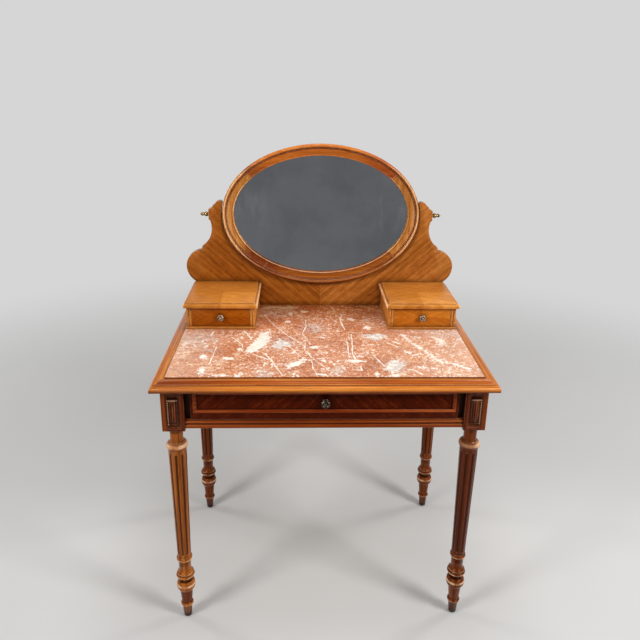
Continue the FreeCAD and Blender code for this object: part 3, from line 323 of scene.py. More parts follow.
class Shade:
    """A node material, put together by short calls."""

    def __init__(self, name):
        self.material = bpy.data.materials.new(name)
        self.material.use_nodes = True
        self.tree = self.material.node_tree
        self.surface = self.tree.nodes["Principled BSDF"]

    def node(self, kind, *inputs, **settings):
        made = self.tree.nodes.new(kind)
        for key, value in settings.items():
            setattr(made, key, value)
        for socket, value in zip(made.inputs, inputs):
            self.feed(socket, value)
        return made

    def feed(self, socket, value):
        if isinstance(value, Value):
            value = value.socket
        if isinstance(value, bpy.types.NodeSocket):
            self.tree.links.new(value, socket)
        else:
            socket.default_value = value

    def set(self, **values):
        for key, value in values.items():
            self.feed(self.surface.inputs[key.replace("_", " ")], value)

    def math(self, operation, *values):
        return Value(self, self.node("ShaderNodeMath", *values, operation=operation).outputs[0])

    def vector(self, operation, *values):
        made = self.node("ShaderNodeVectorMath", *values, operation=operation)
        if operation in ("DOT_PRODUCT", "LENGTH"):
            return Value(self, made.outputs["Value"])
        return made.outputs["Vector"]

    def scaled(self, vector, factor):
        made = self.node("ShaderNodeVectorMath", vector, operation="SCALE")
        self.feed(made.inputs["Scale"], factor)
        return made.outputs[0]

    def place(self):
        return self.node("ShaderNodeTexCoord").outputs["Object"]

    def split(self, vector):
        return [Value(self, part) for part in self.node("ShaderNodeSeparateXYZ", vector).outputs]

    def join(self, x, y, z):
        return self.node("ShaderNodeCombineXYZ", x, y, z).outputs[0]

    def noise(self, vector, stretch, detail=2.0, rough=0.5, output="Fac"):
        """Soft pattern. The stretch says how often it turns in a metre."""
        made = self.node("ShaderNodeTexNoise")
        self.feed(made.inputs["Vector"], self.vector("MULTIPLY", vector, triple(stretch)))
        for key, value in (("Scale", 1.0), ("Detail", detail), ("Roughness", rough)):
            made.inputs[key].default_value = value
        return made.outputs[output] if output == "Color" else Value(self, made.outputs[output])

    def swayed(self, vector, stretch, amount, detail=1.0):
        """The place, pushed aside by a soft noise."""
        push = self.vector("SUBTRACT", self.noise(vector, stretch, detail, output="Color"), triple(MIDDLE))
        return self.vector("ADD", vector, self.vector("MULTIPLY", push, triple(amount)))

    def span(self, value, low, high, to_low=0.0, to_high=1.0, kind="SMOOTHSTEP"):
        made = self.node("ShaderNodeMapRange", value, low, high, to_low, to_high, interpolation_type=kind)
        return Value(self, made.outputs[0])

    def ramp(self, value, stops):
        made = self.node("ShaderNodeValToRGB", value)
        elements = made.color_ramp.elements
        while len(elements) < len(stops):
            elements.new(1.0)
        for element, (place, colour) in zip(elements, stops):
            element.position = place
            element.color = colour
        return made.outputs[0]

    def mix(self, share, first, second, blend="MIX"):
        made = self.node("ShaderNodeMix", share, data_type="RGBA", blend_type=blend)
        self.feed(made.inputs[6], first)
        self.feed(made.inputs[7], second)
        return made.outputs[2]

    def tinted(self, first, second):
        return self.mix(1.0, first, second, "MULTIPLY")

    def bump(self, height, strength, distance):
        made = self.node("ShaderNodeBump")
        for key, value in (("Strength", strength), ("Distance", distance), ("Height", height)):
            self.feed(made.inputs[key], value)
        return made.outputs[0]

    def worn(self, radius):
        """1 along sharp edges, 0 on the faces between them."""
        bevel = self.node("ShaderNodeBevel", radius, samples=LOOK_SAMPLES)
        plain = self.node("ShaderNodeNewGeometry").outputs["Normal"]
        return self.span(self.vector("DOT_PRODUCT", bevel.outputs[0], plain), *SHARP_EDGE_LIMITS)

    def hollow(self, distance, open_share=0.80, closed_share=0.25):
        """1 deep in corners and grooves, 0 on open faces. The shares say how much of the sky they see."""
        shade = self.node("ShaderNodeAmbientOcclusion", samples=LOOK_SAMPLES)
        shade.inputs["Distance"].default_value = distance
        return self.span(Value(self, shade.outputs["AO"]), open_share, closed_share)


# How the grain lies: each gives the place as along, across and through the grain
BOARD_SLANT = math.radians(42)
CHEVRON_SLANT = math.radians(47)
QUARTER_SLANT = math.radians(24)
LEAF_OFFSET = 0.7             # keeps the leaves of two pieces apart
QUARTERED = {1: "right_box_top", 2: "right_drawer_front"}  # by the second axis of their leaves


def grain_x(shade, place):
    return place


def grain_y(shade, place):
    x, y, z = shade.split(place)
    return shade.join(y, x, z)


def grain_z(shade, place):
    x, y, z = shade.split(place)
    return shade.join(z, x, y)


def slanted(shade, first, second, through, angle):
    """Grain in a plane, at an angle from the first axis towards the second."""
    along = first * math.cos(angle) + second * math.sin(angle)
    across = first * -math.sin(angle) + second * math.cos(angle)
    return shade.join(along, across, through)


def grain_board(shade, place):
    """Two leaves of veneer that meet in the middle and fall away from it."""
    x, y, z = shade.split(place)
    return slanted(shade, abs(x), z, y, BOARD_SLANT)


def grain_chevron(shade, place):
    """Two leaves of veneer that rise towards the middle."""
    x, y, z = shade.split(place)
    return slanted(shade, abs(x), z, y, -CHEVRON_SLANT)


def from_quarters(shade, place, axis):
    """Place from the middle of a quartered veneer, across and along its second axis, and the box's side."""
    middle = box_middle(QUARTERED[axis])
    parts = shade.split(place)
    side = shade.math("SIGN", parts[0])
    return parts[0] - side * middle.x, parts[axis] - middle[axis], side


def grain_quarters(axis):
    """Four leaves of veneer, mirrored both ways about the middle of a small drawer's box."""
    def turn(shade, place):
        across, rise, side = from_quarters(shade, place, axis)
        return slanted(shade, abs(across), abs(rise), side * LEAF_OFFSET, QUARTER_SLANT)
    return turn


# Wood patterns: turns in a metre along, across and through the grain, detail, roughness
BROAD_NOISE = ((1.6, 11.0, 11.0), 2.0)
STREAK_NOISE = ((3.2, 150.0, 150.0), 3.0, 0.6)
FIBRE_NOISE = ((22.0, 900.0, 900.0), 2.0, 0.6)
PORE_NOISE = ((70.0, 2600.0, 2600.0), 1.0)
MOTTLE_NOISE = ((34.0, 95.0, 95.0), 3.0, 0.6)
PATCHY_NOISE = (55.0, 2.0)
GRAIN_SWAY = ((2.4, 8.0, 8.0), (0.0, 0.012, 0.012))
MOTTLE_SWAY = (30.0, 0.02)
GROWTH_BEND = 9.0
GROWTH_WAVES = 330.0          # radians of growth lines in a metre
STREAK_SHARE = 0.46           # shares of the patterns in the wood's tone
FIBRE_SHARE = 0.26
GROWTH_SHARE = 0.06
BROAD_SHARE = 0.22
TONE_REACH = 0.17
MIDDLE_TONE_SHARE = 0.52
PORE_LIMITS = (0.60, 0.70)
PORE_DARK_SHARE = 0.45
PORE_DEPTH_SHARE = 0.8
PATCHY_LIMITS = (0.26, 0.56)
# Pale edges: wear, and painted highlight along the arrises
PALE_EDGE_RADIUS = 0.0014
PALE_EDGE_SHARE = 0.6
PALE_EDGE_TONE_SHARE = 0.35
# Painted highlights: how much they vary from place to place
HIGHLIGHT_PATCHY_SHARE = 0.5
HIGHLIGHT_EVEN_SHARE = 0.35
# Painted shade: coves are darkened, and corners and grooves darker still
COVE_HOLLOW = (0.018, 0.97, 0.62)
COVE_TONE_SHARE = 0.3
CORNER_HOLLOW = 0.006
CORNER_DARK_SHARE = 0.75
CORNER_TONE_SHARE = 0.2
FIBRE_ROUGH = 0.16
CORNER_ROUGH = 0.25
GRAIN_RELIEF = (0.10, 0.0004)  # strength, depth


def wood_pattern(shade, grain, contrast, figure):
    """Tone of the wood, 0 in its dark lines to 1 in its light ones, with its fibres and pores."""
    swayed = shade.swayed(grain, *GRAIN_SWAY)
    broad = shade.noise(grain, *BROAD_NOISE)
    streak = shade.noise(swayed, *STREAK_NOISE)
    fibre = shade.noise(swayed, *FIBRE_NOISE)
    across = shade.split(swayed)[1]
    growth = shade.math("SINE", broad * GROWTH_BEND + across * GROWTH_WAVES) * MIDDLE + MIDDLE
    tone = streak * STREAK_SHARE + fibre * FIBRE_SHARE + growth * GROWTH_SHARE + broad * BROAD_SHARE
    mottle = shade.noise(shade.swayed(grain, *MOTTLE_SWAY), *MOTTLE_NOISE)
    tone = (mottle - MIDDLE) * figure + tone
    reach = TONE_REACH / contrast
    tone = shade.span(tone, MIDDLE - reach, MIDDLE + reach, kind="LINEAR")
    return tone, fibre, shade.span(shade.noise(swayed, *PORE_NOISE), *PORE_LIMITS)


def wood(name, tones, turn, tone_and_light=None, painted_highlight=None, contrast=1.0, gloss=0.30, edge_and_corner_strength=1.0, shine=0.25,
         cove=0.5, figure=0.0, polish=SHELLAC):
    """Polished wood: streaks, growth lines, fibres and pores; pale edges, partly wear and partly painted
    highlight; painted highlights along crests; painted shade in coves and corners.
    """
    shade = Shade(name)
    place = shade.place()
    dark, middle, light = tones
    tone, fibre, pore = wood_pattern(shade, turn(shade, place), contrast, figure)
    colour = shade.ramp(tone, ((0.0, dark), (MIDDLE_TONE_SHARE, middle), (1.0, light)))
    # Tone map of the piece, with its painted light and shade
    if tone_and_light is not None:
        colour = shade.tinted(colour, tone_and_light(shade, place))
    colour = shade.mix(pore * PORE_DARK_SHARE, colour, dark)
    patchy = shade.span(shade.noise(place, *PATCHY_NOISE), *PATCHY_LIMITS)
    # Pale edges, partly wear and partly painted highlight
    worn = shade.worn(PALE_EDGE_RADIUS) * patchy * (PALE_EDGE_SHARE * edge_and_corner_strength)
    colour = shade.mix(worn, colour, paler(light, PALE_EDGE_TONE_SHARE))
    # Painted highlights along crests
    if painted_highlight is not None:
        crest = painted_highlight(shade, place) * (patchy * HIGHLIGHT_PATCHY_SHARE + HIGHLIGHT_EVEN_SHARE)
        colour = shade.mix(crest, colour, HIGHLIGHT_TONE)
    # Painted shade in coves, and darker in corners and grooves, which are also rougher
    colour = shade.mix(shade.hollow(*COVE_HOLLOW) * cove, colour, darker(dark, COVE_TONE_SHARE))
    corner = shade.hollow(CORNER_HOLLOW)
    colour = shade.mix(corner * (CORNER_DARK_SHARE * edge_and_corner_strength), colour, darker(dark, CORNER_TONE_SHARE))
    rough = fibre * FIBRE_ROUGH + (gloss - FIBRE_ROUGH / 2) + corner * CORNER_ROUGH
    relief = pore * -PORE_DEPTH_SHARE + fibre
    shade.set(Base_Color=colour, Roughness=rough, Normal=shade.bump(relief, *GRAIN_RELIEF))
    shade.set(Specular_IOR_Level=shine, Specular_Tint=polish)
    return shade.material


# The two leaves of the backboard
BOARD_LEFT_TONE = tint(222, 208, 172)
BOARD_RIGHT_TONE = tint(248, 246, 242)
BOARD_JOINT = 0.0004


def leaf_board(shade, place):
    """The two leaves of the backboard take the light differently."""
    x = shade.split(place)[0]
    return shade.mix(shade.span(x, -BOARD_JOINT, BOARD_JOINT), BOARD_LEFT_TONE, BOARD_RIGHT_TONE)


# Tones across the moulding round the marble, outwards from the marble's edge, and of its lip below: a painted
# sheen on the flat by the marble, painted shade in the cove and at the lip's foot
MARBLE_HALF_WIDTH = 0.388
MARBLE_FRONT = -0.242
MOULDING_WIDTH = 0.033
MOULDING_BANDS = (
    (0.0, tint(232, 232, 248)), (0.0100, tint(226, 226, 240)), (0.0106, PLAIN),
    (0.0120, tint(196, 150, 124)), (0.0150, tint(206, 164, 138)), (0.0195, tint(218, 188, 152)),
    (0.0207, PLAIN), (0.0220, PLAIN), (0.0235, tint(226, 212, 180)), (0.0270, PLAIN), (0.033, PLAIN))
MOULDING_LIP = 0.7300
MOULDING_FOOT = 0.7225
LIP_TONE = tint(246, 236, 236)
LIP_FOOT_SHADE = tint(120, 78, 56)
SIDE_PALE_SHARE = 0.7         # the painted shade and sheen are weaker on the side mouldings
END_START = -0.16             # darker towards the left end of the front
END_FULL = -0.38
END_TONE = tint(214, 200, 200)


def moulding_tones_and_light(shade, place):
    """Painted shade makes the cove darker and redder than the round below it, and a painted sheen pales the
    flat by the marble; the lip is duller, with painted shade at its foot.
    """
    x, y, z = shade.split(place)
    across = abs(x) - MARBLE_HALF_WIDTH
    ahead = MARBLE_FRONT - y
    stops = [(reach / MOULDING_WIDTH, tone) for reach, tone in MOULDING_BANDS]
    bands = shade.ramp(across.most(ahead) / MOULDING_WIDTH, stops)
    lip = shade.mix(shade.span(z, MOULDING_LIP, MOULDING_FOOT), LIP_TONE, LIP_FOOT_SHADE)
    bands = shade.mix(z < MOULDING_LIP, bands, lip)
    front = ahead > across
    bands = shade.mix((1.0 - front) * SIDE_PALE_SHARE, bands, PLAIN)
    end = shade.span(x, END_START, END_FULL) * front
    return shade.mix(end, bands, shade.tinted(bands, END_TONE))


# Tones round the oval mirror frame: degrees from its right end, and the share of light that its wood keeps
OVAL_TONES = (
    (0, tint(230, 236, 236)), (37.8, tint(230, 236, 236)), (38.2, tint(200, 150, 122)),
    (58, tint(216, 168, 132)), (72, tint(255, 230, 176)), (124, tint(252, 222, 168)),
    (136, tint(200, 166, 130)), (141.8, tint(196, 166, 130)), (142.2, tint(240, 252, 250)),
    (208, tint(240, 252, 250)), (219, tint(144, 104, 84)), (239, tint(148, 106, 80)),
    (250, tint(178, 150, 104)), (321.8, tint(186, 160, 116)), (322.2, tint(234, 240, 240)),
    (360, tint(230, 236, 236)))
# Lines round the oval frame, out from the sight edge: middle and half width. The slope line gets painted
# shade, the crest lines painted highlights
FRAME_SLOPE = (0.0218, 0.0024)
INNER_CREST = (INNER_BEAD, 0.0010)
OUTER_CREST = (MIRROR_FACE - OUTER_BEAD, 0.0014)
LINE_EDGE_SHARE = 1.3         # where a line ends and where it is full, in half widths
LINE_FULL_SHARE = 0.5
# Painted shade on the slope inside the outer bead
SLOPE_SHADE = tint(146, 102, 76)
OUTER_CREST_LEAST_SHARE = 0.2  # above and below the middle
OUTER_CREST_NEAR = 0.16
OUTER_CREST_FAR = 0.26
INNER_CREST_TOP = 0.03
INNER_CREST_FULL = -0.04
CREST_LEAN_SHARE = 0.35       # the inner line climbs higher on the left


def on_oval(shade, place):
    """Place across and up the mirror's face, from its middle."""
    x, y, z = shade.split(shade.vector("SUBTRACT", place, pivot))
    return x, y * math.sin(MIRROR_TILT) + z * math.cos(MIRROR_TILT)


def oval_line(shade, place, out, half_width):
    """1 along a line that runs round the mirror frame, 0 beside it."""
    x, z = on_oval(shade, place)
    halves = (SIGHT_HALF_WIDTH + out, 1.0, SIGHT_HALF_HEIGHT + out)
    round_place = shade.vector("DIVIDE", shade.join(x, 0.0, z), halves)
    slope = shade.vector("LENGTH", shade.vector("DIVIDE", round_place, halves))
    past = shade.vector("DOT_PRODUCT", round_place, round_place) - 1.0
    away = abs(past / (slope * 2.0))
    return shade.span(away, half_width * LINE_EDGE_SHARE, half_width * LINE_FULL_SHARE)


def oval_tones_and_shade(shade, place):
    """The oval frame's stretches are of lighter and darker wood, with painted shade on the slope by the outer
    bead.
    """
    x, z = on_oval(shade, place)
    turn = shade.math("ARCTAN2", -(z * (SIGHT_HALF_WIDTH / SIGHT_HALF_HEIGHT)), -x)
    stops = [(degrees / 360, tone) for degrees, tone in OVAL_TONES]
    stretch = shade.ramp(turn / (2 * math.pi) + MIDDLE, stops)
    return shade.mix(oval_line(shade, place, *FRAME_SLOPE), stretch, SLOPE_SHADE)


def oval_highlights(shade, place):
    """Painted highlights: strong along the inner bead's lower half, and along the outer bead at the sides."""
    x, z = on_oval(shade, place)
    low = shade.span(x * CREST_LEAN_SHARE + z, INNER_CREST_TOP, INNER_CREST_FULL)
    beside = shade.span(abs(x), OUTER_CREST_NEAR, OUTER_CREST_FAR, OUTER_CREST_LEAST_SHARE, 1.0)
    inner = oval_line(shade, place, *INNER_CREST) * low
    return inner.most(oval_line(shade, place, *OUTER_CREST) * beside)


# Painted highlights along the crests of a leg's turned rings: height and half width
RING_CRESTS = (
    (0.0452, 0.0018), (0.1150, 0.0044), (0.1438, 0.0018), (0.1522, 0.0009), (0.1988, 0.0022),
    (0.5546, 0.0064), (0.5606, 0.0010))
CREST_FULL_SHARE = 0.3
CREST_NEAR = 0.004            # painted highlights are weaker in the middle of a crest than at their sides
CREST_FAR = 0.013
CREST_LEAST_SHARE = 0.28
FLUTE_RIM = 0.0003
FLUTE_BED = 0.0013
COLUMN_FOOT = 0.0520
COLUMN_TOP = 0.0930
LEG_SHADE = tint(180, 150, 150)       # legs that stand away from the light
# Painted shade on the front right leg's shaft and in the flutes
SHAFT_SHADE = tint(198, 160, 150)
FLUTE_SHADE = tint(208, 162, 146)
COLUMN_SHADE = tint(158, 126, 100)
# Blocks are darker and redder: their own tone, and painted shade under the top
BLOCK_SHADE = tint(146, 98, 70)
DARK_BLOCK_SHADE = tint(222, 176, 160)
BLOCK_OUTER_NEAR = 0.0150     # painted light: the outer border of a block's panel is paler
BLOCK_OUTER_FAR = 0.0190
BLOCK_OUTER_LIGHT = tint(196, 156, 116)
DARK_BLOCK_OUTER_LIGHT = tint(255, 238, 220)


def on_leg(shade, place):
    """Place from the nearest leg's own axis: across and away from the table's middle."""
    x, y, z = shade.split(place)
    front = box_middle("leg_front_right")
    rear = box_middle("leg_rear_right")
    across = x - shade.math("SIGN", x) * front.x
    return across, abs(y - (front.y + rear.y) / 2) - (rear.y - front.y) / 2


def between(value, low, high):
    return (value > low) * (value < high)


def leaf_leg(shade, place):
    """The front left leg is paler, with a dark foot, and the others get painted shade. Flutes get painted
    shade, dark and red; the blocks are darker and redder, partly painted shade, with painted light on their
    outer border.
    """
    x, y, z = shade.split(place)
    across, back = on_leg(shade, place)
    dark = (x > 0.0).most(y > 0.0)
    radius = shade.vector("LENGTH", shade.join(across, back, 0.0))
    full = shade.span(z, SHAFT_FOOT, SHAFT_TOP, SHAFT_FOOT_RADIUS, SHAFT_TOP_RADIUS, "LINEAR")
    depth = shade.span(full - radius, FLUTE_RIM, FLUTE_BED)
    on_shaft = between(z, SHAFT_FOOT, SHAFT_TOP)
    flute = shade.mix(depth * on_shaft, PLAIN, FLUTE_SHADE)
    front_right = (x > 0.0) * (y < 0.0)
    flute = shade.tinted(flute, shade.mix(front_right * on_shaft, PLAIN, SHAFT_SHADE))
    on_column = between(z, COLUMN_FOOT, COLUMN_TOP)
    column = shade.mix(on_column, flute, shade.mix(dark, COLUMN_SHADE, PLAIN))
    inner_block = shade.mix(dark, BLOCK_SHADE, DARK_BLOCK_SHADE)
    outer_block = shade.mix(dark, BLOCK_OUTER_LIGHT, DARK_BLOCK_OUTER_LIGHT)
    border = shade.span(across * shade.math("SIGN", x), BLOCK_OUTER_NEAR, BLOCK_OUTER_FAR)
    block = shade.mix(z > BLOCK_FOOT, column, shade.mix(border, inner_block, outer_block))
    return shade.tinted(shade.mix(dark, PLAIN, LEG_SHADE), block)


def ring_highlights(shade, place):
    """Painted highlights, strong at the sides of a leg's rings. A right leg's uppermost ring gets its
    highlight at its outer side only.
    """
    x, y, z = shade.split(place)
    across = on_leg(shade, place)[0]
    both_sides = (x < 0.0).most(z < SHAFT_TOP)
    aside = across.most(across * -both_sides)
    crests = [shade.span(abs(z - height), half_width, half_width * CREST_FULL_SHARE)
              for height, half_width in RING_CRESTS]
    return greatest(crests) * shade.span(aside, CREST_NEAR, CREST_FAR, CREST_LEAST_SHARE, 1.0)


BEAD_EDGE_SHARE = 0.8         # where a bead's painted highlight ends and where it is full, in radii
BEAD_FULL_SHARE = 0.3
BAR_FULL_SHARE = 0.2
BAR_HIGHLIGHT_SHARE = 0.36


def tablet_highlights(shade, place):
    """Painted highlights: 1 on the beads down the outer side of a front tablet, less along the bar at its
    head.
    """
    x, y, z = shade.split(place)
    beside = abs(x) - box_middle("leg_front_right").x - (TABLET_WIDTH / 2 - BEAD_RADIUS)
    row = (z - (TABLET_FOOT + BEAD_RADIUS)) / BEAD_PITCH
    above = (row - shade.math("ROUND", row)) * BEAD_PITCH
    away = shade.vector("LENGTH", shade.join(beside, above, 0.0))
    bead = shade.span(away, BEAD_RADIUS * BEAD_EDGE_SHARE, BEAD_RADIUS * BEAD_FULL_SHARE)
    head = TABLET_FOOT + TABLET_HEIGHT - TABLET_BAR / 2
    bar = shade.span(abs(z - head), TABLET_BAR / 2, TABLET_BAR * BAR_FULL_SHARE)
    return bead.most(bar * BAR_HIGHLIGHT_SHARE)


def leaf_quarters(axis, way, dark, left=PLAIN):
    """One quarter of the veneer, on the right, takes more light, and the other three get painted shade; where
    a tint is given for the left box, it gets painted shade as well.
    """
    def tones(shade, place):
        across, rise, side = from_quarters(shade, place, axis)
        quarter = shade.mix(across.least(rise * way) > 0.0, dark, PLAIN)
        return shade.tinted(quarter, shade.mix(side > 0.0, left, PLAIN))
    return tones


BOX_RIM = (0.0036, 0.0016)    # painted highlight along a box top's edge: where it starts and where it is full
# Painted shade on the quarters that take less light, and on the left box's front
BOX_TOP_QUARTER_SHADE = tint(234, 226, 214)
BOX_FRONT_QUARTER_SHADE = tint(236, 226, 214)
LEFT_FRONT_SHADE = tint(204, 180, 124)


def box_top_highlights(shade, place):
    """Painted highlight: 1 along the side edges of a box's top."""
    low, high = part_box("right_box_top")
    across = abs(shade.split(place)[0]) - (low.x + high.x) / 2
    return shade.span((high.x - low.x) / 2 - abs(across), *BOX_RIM)


# Marble, seen from above. Corners of its large patches, clockwise: white ones, then greyer ones
MARBLE_PATCHES = (
    ((-0.145, 0.035), (-0.145, -0.010), (-0.160, -0.075), (-0.180, -0.105), (-0.200, -0.110),
        (-0.205, -0.090), (-0.170, 0.025)),
    ((-0.055, -0.145), (-0.040, -0.150), (-0.075, -0.190), (-0.095, -0.195), (-0.105, -0.180)),
    ((0.310, -0.005), (0.335, -0.015), (0.330, -0.060), (0.315, -0.050)),
    ((-0.175, 0.235), (-0.070, 0.230), (-0.080, 0.215), (-0.175, 0.215)))
GREY_PATCHES = (
    ((0.115, 0.020), (0.180, 0.015), (0.175, -0.010), (0.140, -0.030), (0.115, 0.005)),
    ((0.145, -0.200), (0.165, -0.150), (0.190, -0.145), (0.200, -0.185), (0.165, -0.225)),
    ((-0.120, -0.015), (-0.090, -0.055), (-0.100, -0.070), (-0.130, -0.080), (-0.135, -0.070)))
# Small white flecks and grey clouds: middle x and y, half length and half width
MARBLE_FLECKS = (
    (-0.310, -0.130, 0.011, 0.016), (-0.245, -0.140, 0.014, 0.007), (-0.305, -0.210, 0.010, 0.018),
    (-0.255, -0.235, 0.018, 0.006), (-0.215, -0.235, 0.011, 0.006), (0.080, -0.155, 0.018, 0.008),
    (-0.025, -0.070, 0.010, 0.010), (0.125, -0.225, 0.005, 0.012), (-0.005, -0.150, 0.006, 0.005),
    (-0.090, 0.170, 0.008, 0.010), (-0.050, 0.190, 0.014, 0.006), (0.090, 0.125, 0.008, 0.009),
    (-0.100, 0.110, 0.010, 0.006), (0.130, 0.065, 0.010, 0.012), (-0.010, -0.230, 0.014, 0.006),
    (0.170, -0.235, 0.018, 0.006), (-0.220, -0.085, 0.006, 0.008))
MARBLE_CLOUDS = (
    (-0.345, -0.020, 0.050, 0.055), (-0.150, -0.225, 0.018, 0.022), (-0.130, 0.195, 0.060, 0.035),
    (0.030, -0.210, 0.016, 0.020), (0.345, 0.030, 0.050, 0.040), (-0.305, -0.095, 0.018, 0.013),
    (-0.025, 0.060, 0.030, 0.030), (0.180, -0.190, 0.030, 0.040), (-0.110, -0.045, 0.030, 0.040))
# White veins: half width and the points they pass
MARBLE_VEINS = (
    (0.0014, ((-0.170, 0.165), (-0.135, 0.075), (-0.100, 0.010), (-0.075, -0.025), (-0.050, -0.070))),
    (0.0014, ((-0.120, -0.020), (-0.090, -0.070), (-0.060, -0.130))),
    (0.0018, ((-0.160, -0.105), (-0.135, -0.150), (-0.115, -0.210), (-0.105, -0.235))),
    (0.0013, ((-0.045, 0.125), (-0.045, 0.075), (-0.055, 0.020), (-0.035, -0.055))),
    (0.0013, ((-0.050, -0.045), (-0.050, -0.090), (-0.020, -0.160), (0.010, -0.210))),
    (0.0013, ((-0.035, -0.145), (-0.030, -0.195), (-0.020, -0.240))),
    (0.0026, ((0.035, 0.230), (0.045, 0.185))),
    (0.0024, ((0.065, 0.165), (0.055, 0.125), (0.065, 0.050))),
    (0.0020, ((0.080, 0.015), (0.080, -0.015), (0.075, -0.110), (0.080, -0.145))),
    (0.0014, ((0.065, -0.030), (0.065, -0.125))), (0.0016, ((0.125, 0.245), (0.185, 0.195))),
    (0.0020, ((0.090, -0.185), (0.090, -0.210), (0.070, -0.205))),
    (0.0018, ((0.130, -0.125), (0.140, -0.160), (0.150, -0.185))),
    (0.0022, ((-0.220, 0.040), (-0.195, -0.020))),
    (0.0013, ((-0.250, -0.005), (-0.220, -0.050), (-0.215, -0.075))),
    (0.0014, ((-0.285, -0.070), (-0.285, -0.100), (-0.290, -0.175))),
    (0.0020, ((-0.305, 0.035), (-0.310, 0.005))), (0.0030, ((-0.185, -0.115), (-0.145, -0.145))),
    (0.0046, ((0.220, 0.010), (0.235, -0.010), (0.255, -0.070), (0.285, -0.130), (0.305, -0.165),
        (0.330, -0.175), (0.360, -0.200))),
    (0.0038, ((0.215, -0.095), (0.230, -0.120), (0.255, -0.115))),
    (0.0036, ((0.235, -0.185), (0.260, -0.200), (0.280, -0.200))),
    (0.0022, ((0.175, -0.040), (0.200, -0.070))), (0.0024, ((0.190, -0.030), (0.210, -0.050))),
    (0.0022, ((0.205, -0.205), (0.220, -0.205), (0.235, -0.230))))
# Tones: the ground from deep to light, then what lies on it
MARBLE_GROUND = ((0.41, tint(168, 88, 47)), (0.50, tint(200, 121, 77)), (0.59, tint(215, 144, 101)))
MARBLE_CREAM = tint(241, 209, 176)
MARBLE_BLUSH = tint(238, 198, 168)
MARBLE_WHITE = tint(250, 240, 226)
MARBLE_MILK = tint(240, 224, 210)
MARBLE_GREY = tint(206, 192, 186)
MARBLE_FLAW = tint(150, 96, 66)
MARBLE_SHADOW = tint(182, 152, 118)    # painted shadow, and painted reflection of the wood, deepening the tone along the back
MARBLE_EDGE_SHADE = tint(132, 92, 70)        # painted shade on the slab's edge, darker towards the wood
# Marble patterns: turns in a metre, detail, roughness
CLOUD_NOISE = (13.0, 5.0, 0.62)
CRUMB_NOISE = (75.0, 5.0, 0.66)
SPECK_NOISE = (330.0, 3.0, 0.6)
RAGGED_NOISE = (110.0, 4.0, 0.7)
FLAW_NOISE = (210.0, 2.0)
NET_NOISE = (34.0, 3.0)
NET_PATCH_NOISE = (17.0, 2.0)
FINE_NOISE = (210.0, 3.0, 0.65)
WHITE_NOISE = ((120.0, 95.0, 95.0), 4.0, 0.68)
GATHER_NOISE = (13.0, 3.0)
THIN_NOISE = (55.0, 2.0)
# Soft pushes aside: turns in a metre, reach, detail
BEND_SWAYS = ((26.0, 0.014, 2.0), (130.0, 0.006, 2.0))
FRAY_SWAYS = ((55.0, 0.013, 4.0), (240.0, 0.006, 2.0))
VEIN_SWAYS = ((30.0, 0.006, 1.0), (150.0, 0.003, 2.0))
# Where each pattern starts and is full, some with the strengths there
RIGHT_BLUSH = (0.06, 0.36, 0.0, 0.34)
LEFT_BLUSH = (-0.20, -0.38, 0.0, 0.25)
GREY_LIMITS = (0.38, 0.58)
DULL_LIMITS = (0.40, 0.56)
MILK_LIMITS = (0.44, 0.64)
FLAW_LIMITS = (0.60, 0.68)
NET_LIMITS = (0.036, 0.0108)
NET_PATCH_LIMITS = (0.50, 0.60)
FINE_LIMITS = (0.52, 0.64, 0.0, 0.75)
WHITE_LIMITS = (0.55, 0.60)
GATHER_LIMITS = (0.42, 0.58, 0.2, 1.0)
RIGHT_GATHER = (0.14, 0.30, 0.0, 0.9)
THIN_LIMITS = (0.34, 0.66, 0.7, 1.7)
SHADOW_LIMITS = (0.04, 0.24)
EDGE_SHADE_LIMITS = (0.7495, 0.7480)
CLOUD_SHARE = 0.40            # shares of the patterns in the ground's tone
CRUMB_SHARE = 0.40
SPECK_SHARE = 0.20
GREY_SHARE = 0.8
NET_SHARE = 0.8
FLAW_GREY_SHARE = 0.5
FLAW_LEAST_SHARE = 0.25
CLOUD_SOFT_SHARE = 0.6
FLECK_SOFT_SHARE = 0.25
PATCH_FRAY = 0.060
PATCH_SOFT = 0.0022
FLECK_FRAY_SHARE = 4.0
CLEAN_VEIN = 0.0032           # wider veins are frayed
VEIN_FRAY = 0.055
VEIN_EDGE_SHARE = 1.4
VEIN_FULL_SHARE = 0.5
MARBLE_ROUGH = 0.16
SPECK_ROUGH = 0.14
SPECK_RELIEF = (0.03, 0.0003)
MARBLE_SHINE = 0.3
MARBLE_COAT = 0.05
MARBLE_COAT_ROUGH = 0.10


def marble_patch(shade, place, fray, corners):
    """1 inside an outline, 0 outside it, with a frayed edge."""
    sides = []
    for start, end in zip(corners, corners[1:] + corners[:1]):
        way = Vector(end) - Vector(start)
        out = Vector((-way.y, way.x)).normalized()
        sides.append(shade.vector("DOT_PRODUCT", place, (out.x, out.y, 0.0)) - out.dot(Vector(start)))
    return shade.span(greatest(sides) + fray, PATCH_SOFT, -PATCH_SOFT)


def marble_spot(shade, place, fray, spot, soft_share):
    """1 inside a small ragged oval, fading out over a share of its size."""
    middle_x, middle_y, half_length, half_width = spot
    offset = shade.vector("SUBTRACT", place, (middle_x, middle_y, 0.0))
    round_place = shade.vector("DIVIDE", offset, (half_length, half_width, 1.0))
    return shade.span(shade.vector("LENGTH", round_place) + fray, 1.0 + soft_share, 1.0 - soft_share)


